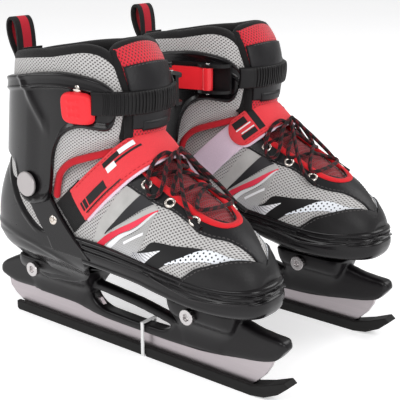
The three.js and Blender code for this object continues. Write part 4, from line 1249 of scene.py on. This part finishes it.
heelCup = {
    "top": [(-133, 150), (-124, 149), (-114, 146), (-104, 138), (-96, 129), (-90, 119), (-84, 111),
            (-78, 106), (-69, 99.5), (-60, 96.5), (-45, 98.5), (-14, 99.5)],
    "low": [(-133, 56), (-124, 52), (-110, 48.5), (-95, 47), (-80, 49), (-66, 50), (-52, 52), (-40, 56),
            (-28, 64), (-14, 77)],
    "stations": (-14.6, -30, -45, -60, -75, -90, -100, -110, -120, -127, -130), "heel": -133,
    "under": 0.4, "thick": 3.8, "edge": 1.6,
    "ridge": 1.5, "swell": 0.9, "spine": 1.3, "edgeRib": 0.9, "recess": 3.6,
}
ankleArm = {
    "rear": [(-50, 84), (-56, 95), (-64, 105), (-73, 118), (-80, 129), (-83, 137), (-80, 144), (-72, 147.5)],
    "front": [(-6, 84), (-14, 91), (-25, 100), (-38, 113), (-49, 127), (-56, 138), (-61, 144.5),
              (-68, 147.5)],
    "under": 2.2, "thick": 3.4,
}
plate = {"x": -66, "z": 66.6, "halfX": 49, "halfY": 21.5, "halfThick": 1.6, "rimStart": 0.93, "square": 0.7,
         "rings": [0, 0.4, 0.8, 0.93, 0.98, 1.0], "wider": 0.05}
shellScrew = {
    "place": (-46, 110, 5.5),
    "profile": [(0, 1.3), (1.2, 1.3), (1.4, 0.7), (1.9, 0.7), (2.1, 1.3), (3.2, 1.1), (3.9, 0.3), (3.9, -1),
                (0, -1)],
}


# a flat superellipse plan between two x values, a little wider in front; share runs from its middle to its
# rim, and rise is 1 in the middle and falls as a quarter circle past rimStart
def flatPlan(x0, x1, halfY, square, wider, rings, rimStart, n):
    turn = np.linspace(0, 2 * np.pi, n, endpoint=False)[:, None]
    share = np.array(rings)[None, :]
    x = (x0 + x1) / 2 + (x1 - x0) / 2 * signedPower(np.cos(turn), square[0]) * share
    y = halfY * signedPower(np.sin(turn), square[1]) * share * (1 + wider * np.cos(turn))
    rise = np.sqrt(1 - np.clip((share - rimStart) / (1 - rimStart), 0, 1) ** 2) + 0 * x
    return x, y, rise


# the plate that closes the heel cup underneath
def mountingPlate():
    p = plate
    x, y, rise = flatPlan(p["x"] - p["halfX"], p["x"] + p["halfX"], p["halfY"], (p["square"], p["square"]),
                          p["wider"], p["rings"], p["rimStart"], 80)
    top, bottom = (np.stack([x, y, p["z"] + s * p["halfThick"] * rise], -1) for s in (1, -1))
    return domeOf(top, bottom)


# the heel cup with a swooping ridge as a bell curve round a parabola, a spine, a rib under its edge and a
# round recess, then the ankle arms, the plate and the two screws
def makeBaseShell():
    xs, turns = turnsAt(heelCup["stations"])
    turn, folded = roundTurns([(turns[0], 180, 170)])
    x = np.interp(folded, turns, xs, right=heelCup["heel"])[:, None]
    f = folded[:, None]
    topZ, lowZ = along(heelCup["top"], x), along(heelCup["low"], x)
    z = lowZ + (topZ - lowZ) * borderShares(64, 90, heelCup["edge"])
    u = np.broadcast_to(turn[:, None], z.shape)
    swoop = 88 - 0.16 * (x + 100) - 0.0011 * (x + 100) ** 2
    ridge = np.exp(-((z - swoop) / 2.4) ** 2)
    swell = smooth(0, 8, swoop - z) * smooth(60, 72, z)
    spine = np.exp(-((f - 180) / 5) ** 2) * smooth(90, 110, z)
    edgeRib = smooth(2.6, 0.8, np.abs(topZ - z - 3)) * smooth(-62, -72, x)
    recess = np.exp(-(((x + 93) / 10) ** 2 + ((z - 60) / 9) ** 2) ** 2)
    relief = (heelCup["ridge"] * ridge + heelCup["swell"] * swell + heelCup["spine"] * spine
              + heelCup["edgeRib"] * edgeRib - heelCup["recess"] * recess)
    parts = [skin(shellPoint, u, z, heelCup["under"], heelCup["thick"], heelCup["edge"], relief=relief)]
    screws = []
    for s in (-1, 1):
        parts.append(panel(oneSide(sidePoint, s), ankleArm["rear"], ankleArm["front"], ankleArm["under"],
                           ankleArm["thick"], heelCup["edge"], n=90, m=24, even=False))
        seat = sidePoint(*np.array(shellScrew["place"], float), s)
        screws.append(turned(shellScrew["profile"], seat, (0, s, 0.15), 26))
    parts.append(mountingPlate())
    build("base_shell", joined(parts), shellBlack, "root", ["base_shell"], crease=40)
    build("shell_screws", joined(screws), eyeletNickel, "root")


makeFrontSole()
makeBaseShell()
print("shells done")


# blade holder: a rail, two flared towers and the bridge between them, lofted apart and fused
holder = {
    "railTop": [(-158, 34), (-153, 41), (-143, 47), (-132, 52), (-118, 56), (-60, 52), (-46, 44), (-38, 34),
                (-30, 29.5), (-20, 28), (34, 28), (44, 32), (54, 44), (64, 54), (106, 56), (116, 54.5),
                (124, 52.5), (136, 51), (149, 49.5), (152, 45)],
    "railLow": [(-158, 33), (-153, 29.5), (-136, 25), (-84, 27), (-36, 21), (18, 20), (71, 20), (109, 25),
                (141, 32), (152, 43.5)],
    "railHalf": 6.6,
    # towers: height, rear and front x, half width
    "rear": [(26, -112, -44, 6.8), (38, -118, -42, 8), (45, -119, -39, 12), (51, -119, -37, 18),
             (56, -118, -34, 20.4), (61.4, -117, -31, 21)],
    "front": [(24, 54, 98, 6.8), (36, 52, 102, 7.6), (44, 50, 107, 11), (50, 49, 110, 15.6),
              (56, 47, 112, 16.8), (61.4, 46, 113, 17)],
    "bridge": [(-48, 45), (-34, 46), (-20, 45), (-4, 43.6), (12, 42), (28, 39.5), (42, 37), (56, 34)],
    "bridgeHalf": 4.8, "bridgeRise": 3.8,
    "voxel": 0.0013, "softening": 5,
}


# superellipse sections: the rail's stand along x, the towers' lie at their heights, and the bridge's follow
# its line; a fine remesh then fuses them, and smoothing rounds the places where they meet
def makeHolder():
    x = np.linspace(-158, 152, 150)[:, None]
    angle = np.linspace(0, 2 * np.pi, 32, endpoint=False)[None, :]
    top, low = along(holder["railTop"], x), along(holder["railLow"], x)
    z = (top + low) / 2 + (top - low) / 2 * signedPower(np.sin(angle), 0.35)
    nose = np.clip(np.minimum(x + 159, 153.5 - x) / 5, 0.1, 1) ** 0.5
    y = holder["railHalf"] * signedPower(np.cos(angle), 0.45) * nose
    parts = [tubeCap(x, y, z)]
    for name in ("rear", "front"):
        level = np.array(holder[name], float)
        height = np.linspace(level[0, 0], level[-1, 0], 30)
        x0, x1, half = (along(np.c_[level[:, 0], level[:, k]], height)[:, None] for k in (1, 2, 3))
        x = (x0 + x1) / 2 + (x1 - x0) / 2 * signedPower(np.cos(angle), 0.3)
        parts.append(tubeCap(x, half * signedPower(np.sin(angle), 0.3), height[:, None]))
    line = curve(holder["bridge"], 50)
    y = holder["bridgeHalf"] * signedPower(np.cos(angle), 0.6)
    rise = holder["bridgeRise"] * signedPower(np.sin(angle), 0.6)
    parts.append(tubeCap(line[:, :1], y, line[:, 1:] + rise))
    whole = joined(parts)
    for side in sides:
        piece = make("holder", side, whole, frameBlack)
        fuse = piece.modifiers.new("fuse", "REMESH")
        fuse.mode, fuse.voxel_size, fuse.use_smooth_shade = "VOXEL", holder["voxel"], True
        soften = piece.modifiers.new("soften", "SMOOTH")
        soften.factor, soften.iterations = 0.5, holder["softening"]
        view = bpy.context.evaluated_depsgraph_get()
        fused = bpy.data.meshes.new_from_object(piece.evaluated_get(view))
        piece.modifiers.clear()
        piece.data = fused
        fused.shade_smooth()
        fused.materials.clear()
        fused.materials.append(frameBlack)
        onBody(piece, side, "root", ["blade_holder"])


# rings joined along a path, with both ends drawn in to their middles
def tubeCap(x, y, z):
    rings = np.stack(np.broadcast_arrays(x, y, z), -1)
    ends = [np.broadcast_to(rings[k].mean(0), rings[k].shape)[None] for k in (0, -1)]
    return sheetOf(np.concatenate([ends[0], rings, ends[1]]), False, True)


# pull loop: a folded tape that stands up behind the collar; its line goes up, over and down
loop = {
    "line": [(-112.3, 222), (-112.6, 234), (-113.5, 247), (-116, 256), (-120, 259), (-124, 256),
             (-124.6, 248), (-121.5, 238), (-116.5, 229), (-114.3, 222)],
    "half": 9.5, "thick": 1.8,
    "patchLow": 206, "patchHigh": 236, "patchHalf": 10, "patchOver": 2.2, "patchThick": 1.6, "patchBend": 130,
}


# the tape's two faces stand half its thickness to each side of its line; its patch lies on the shaft
# form's back and bends forward by the square of y over twice the bend's radius
def makeLoop():
    line = curve(loop["line"], 90)
    slope = np.gradient(line, axis=0)
    slope /= np.linalg.norm(slope, axis=1, keepdims=True)
    away = np.stack([slope[:, 1], -slope[:, 0]], -1)
    y = loop["half"] * np.linspace(-1, 1, 16)[None, :]
    faces = []
    for s in (0.5, -0.5):
        x, z = (line + away * loop["thick"] * s).T[..., None]
        faces.append(np.stack(np.broadcast_arrays(x, y, z), -1))
    build("pull_loop", wallOf(*faces), loopWeb, "cuff", ["pull_loop"])
    z = np.linspace(loop["patchLow"], loop["patchHigh"], 30)[:, None]
    y = np.linspace(-loop["patchHalf"], loop["patchHalf"], 14)[None, :]
    x = shaftPoint(180.0, z, loop["patchOver"])[..., 0] + y ** 2 / (2 * loop["patchBend"])
    face = np.stack(np.broadcast_arrays(x, y, z), -1)
    patch = wallOf(face, face + [loop["patchThick"], 0, 0])
    build("loop_patch", patch, bindingBlack, "cuff")


insole = {"halfY": 20.5, "square": (0.8, 0.7), "wider": 0.06, "rings": [0, 0.3, 0.6, 0.85, 0.94, 0.985, 1.0],
          "rimStart": 0.9, "rim": 0.2}


# insole: a flat plan with a soft edge between the model footbed's ends and heights
def makeFootbed():
    (x0, _, z0), (x1, _, z1) = (np.array(corner) * 1000 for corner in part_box("left_footbed"))
    x, y, rise = flatPlan(x0 - shiftX, x1 - shiftX, insole["halfY"], insole["square"], insole["wider"],
                          insole["rings"], insole["rimStart"], 96)
    top = np.stack([x, y, z0 + insole["rim"] + (z1 - z0) * rise], -1)
    bottom = np.stack([x, y, z0 + 0 * x], -1)
    build("insole", domeOf(top, bottom), liningBlack, "root", ["footbed"])


makeHolder()
makeLoop()
makeFootbed()
print("holder, loop and insole done")


# pieces whose shape is the model's own take their finish here, with a small rounding of their edges
finishes = {
    "blade": (bladeSteel, 0.0003), "blade_guard": (guardBlack, 0.0008), "cable_tie": (tieWhite, 0.0004),
    "front_bolt": (boltSteel, 0.0005), "rear_bolt": (boltSteel, 0.0005), "front_nut": (boltSteel, 0.0005),
    "rear_nut": (boltSteel, 0.0005), "cuff_rivet_inner": (capSilver, 0.0008),
    "cuff_rivet_outer": (capSilver, 0.0008), "buckle_base": (strapBlack, 0.0008),
    "buckle_lever": (buckleRed, 0.001), "buckle_pin": (boltSteel, 0.0003),
}


roundedPast = 32  # degrees between two faces


def finishModelPieces():
    for side in sides:
        for name, (material, rounding) in finishes.items():
            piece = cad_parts[f"{side}_{name}"]
            piece.data.materials.clear()
            piece.data.materials.append(material)
            piece.modifiers.new("weld", "WELD").merge_threshold = 1e-6
            soft = piece.modifiers.new("edges", "BEVEL")
            soft.width, soft.segments = rounding, 2
            soft.limit_method, soft.angle_limit = "ANGLE", math.radians(roundedPast)
            soft.harden_normals = False


finishModelPieces()


# studio: pale floor, broad soft lights and the camera
studio = {
    "eye": (0.4924, -0.5939, 0.3372), "azimuth": 39.02, "rise": 16.53, "lens": 85.9, "sensor": 36,
    "floorSize": 30, "floorGlow": 0.4, "world": 0.5, "aim": (0, 0, 0.12),
    # lights: name, place, size and power
    "lights": [("key", (0.2, -1.6, 1.6), 1.2, 15), ("fill", (-1.5, -0.9, 1.1), 1.0, 8),
               ("rim", (0.9, 1.3, 1.4), 1.2, 14), ("front", (1.6, -0.5, 0.9), 0.9, 10)],
}


# a turn that looks along a direction, with the top up
def lookAlong(direction):
    return Vector(direction).to_track_quat("-Z", "Y").to_euler()


def makeStudio():
    bpy.ops.mesh.primitive_plane_add(size=studio["floorSize"], location=(0, 0, 0))
    floor = bpy.context.object
    floor.name = "floor"
    material, tree, shader = newMaterial("floorPale", rgb(250, 250, 250), 0.8, Emission_Color=(1, 1, 1, 1),
                                         Emission_Strength=studio["floorGlow"])
    shade = blendColor(tree, noise(tree, objectPlace(tree), 3, 2), rgb(244, 244, 245), rgb(249, 249, 250))
    feed(tree, shade, shader.inputs["Base Color"])
    floor.data.materials.append(material)
    world = bpy.data.worlds.new("studio")
    world.use_nodes = True
    sky = world.node_tree.nodes["Background"]
    sky.inputs["Color"].default_value = (1, 1, 1, 1)
    sky.inputs["Strength"].default_value = studio["world"]
    scene = bpy.context.scene
    scene.world = world
    scene.view_settings.view_transform = "Standard"
    for name, spot, size, power in studio["lights"]:
        light = bpy.data.lights.new(name, "AREA")
        light.shape, light.size, light.energy = "DISK", size, power
        lamp = bpy.data.objects.new(name, light)
        lamp.location = spot
        lamp.rotation_euler = lookAlong(Vector(studio["aim"]) - lamp.location)
        scene.collection.objects.link(lamp)
    a, e = math.radians(studio["azimuth"]), math.radians(studio["rise"])
    data = bpy.data.cameras.new("camera")
    data.lens, data.sensor_width = studio["lens"], studio["sensor"]
    camera = bpy.data.objects.new("camera", data)
    camera.location = studio["eye"]
    camera.rotation_euler = lookAlong((-math.sin(a) * math.cos(e), math.cos(a) * math.cos(e), -math.sin(e)))
    scene.collection.objects.link(camera)
    scene.camera = camera


makeStudio()
print("studio ready")
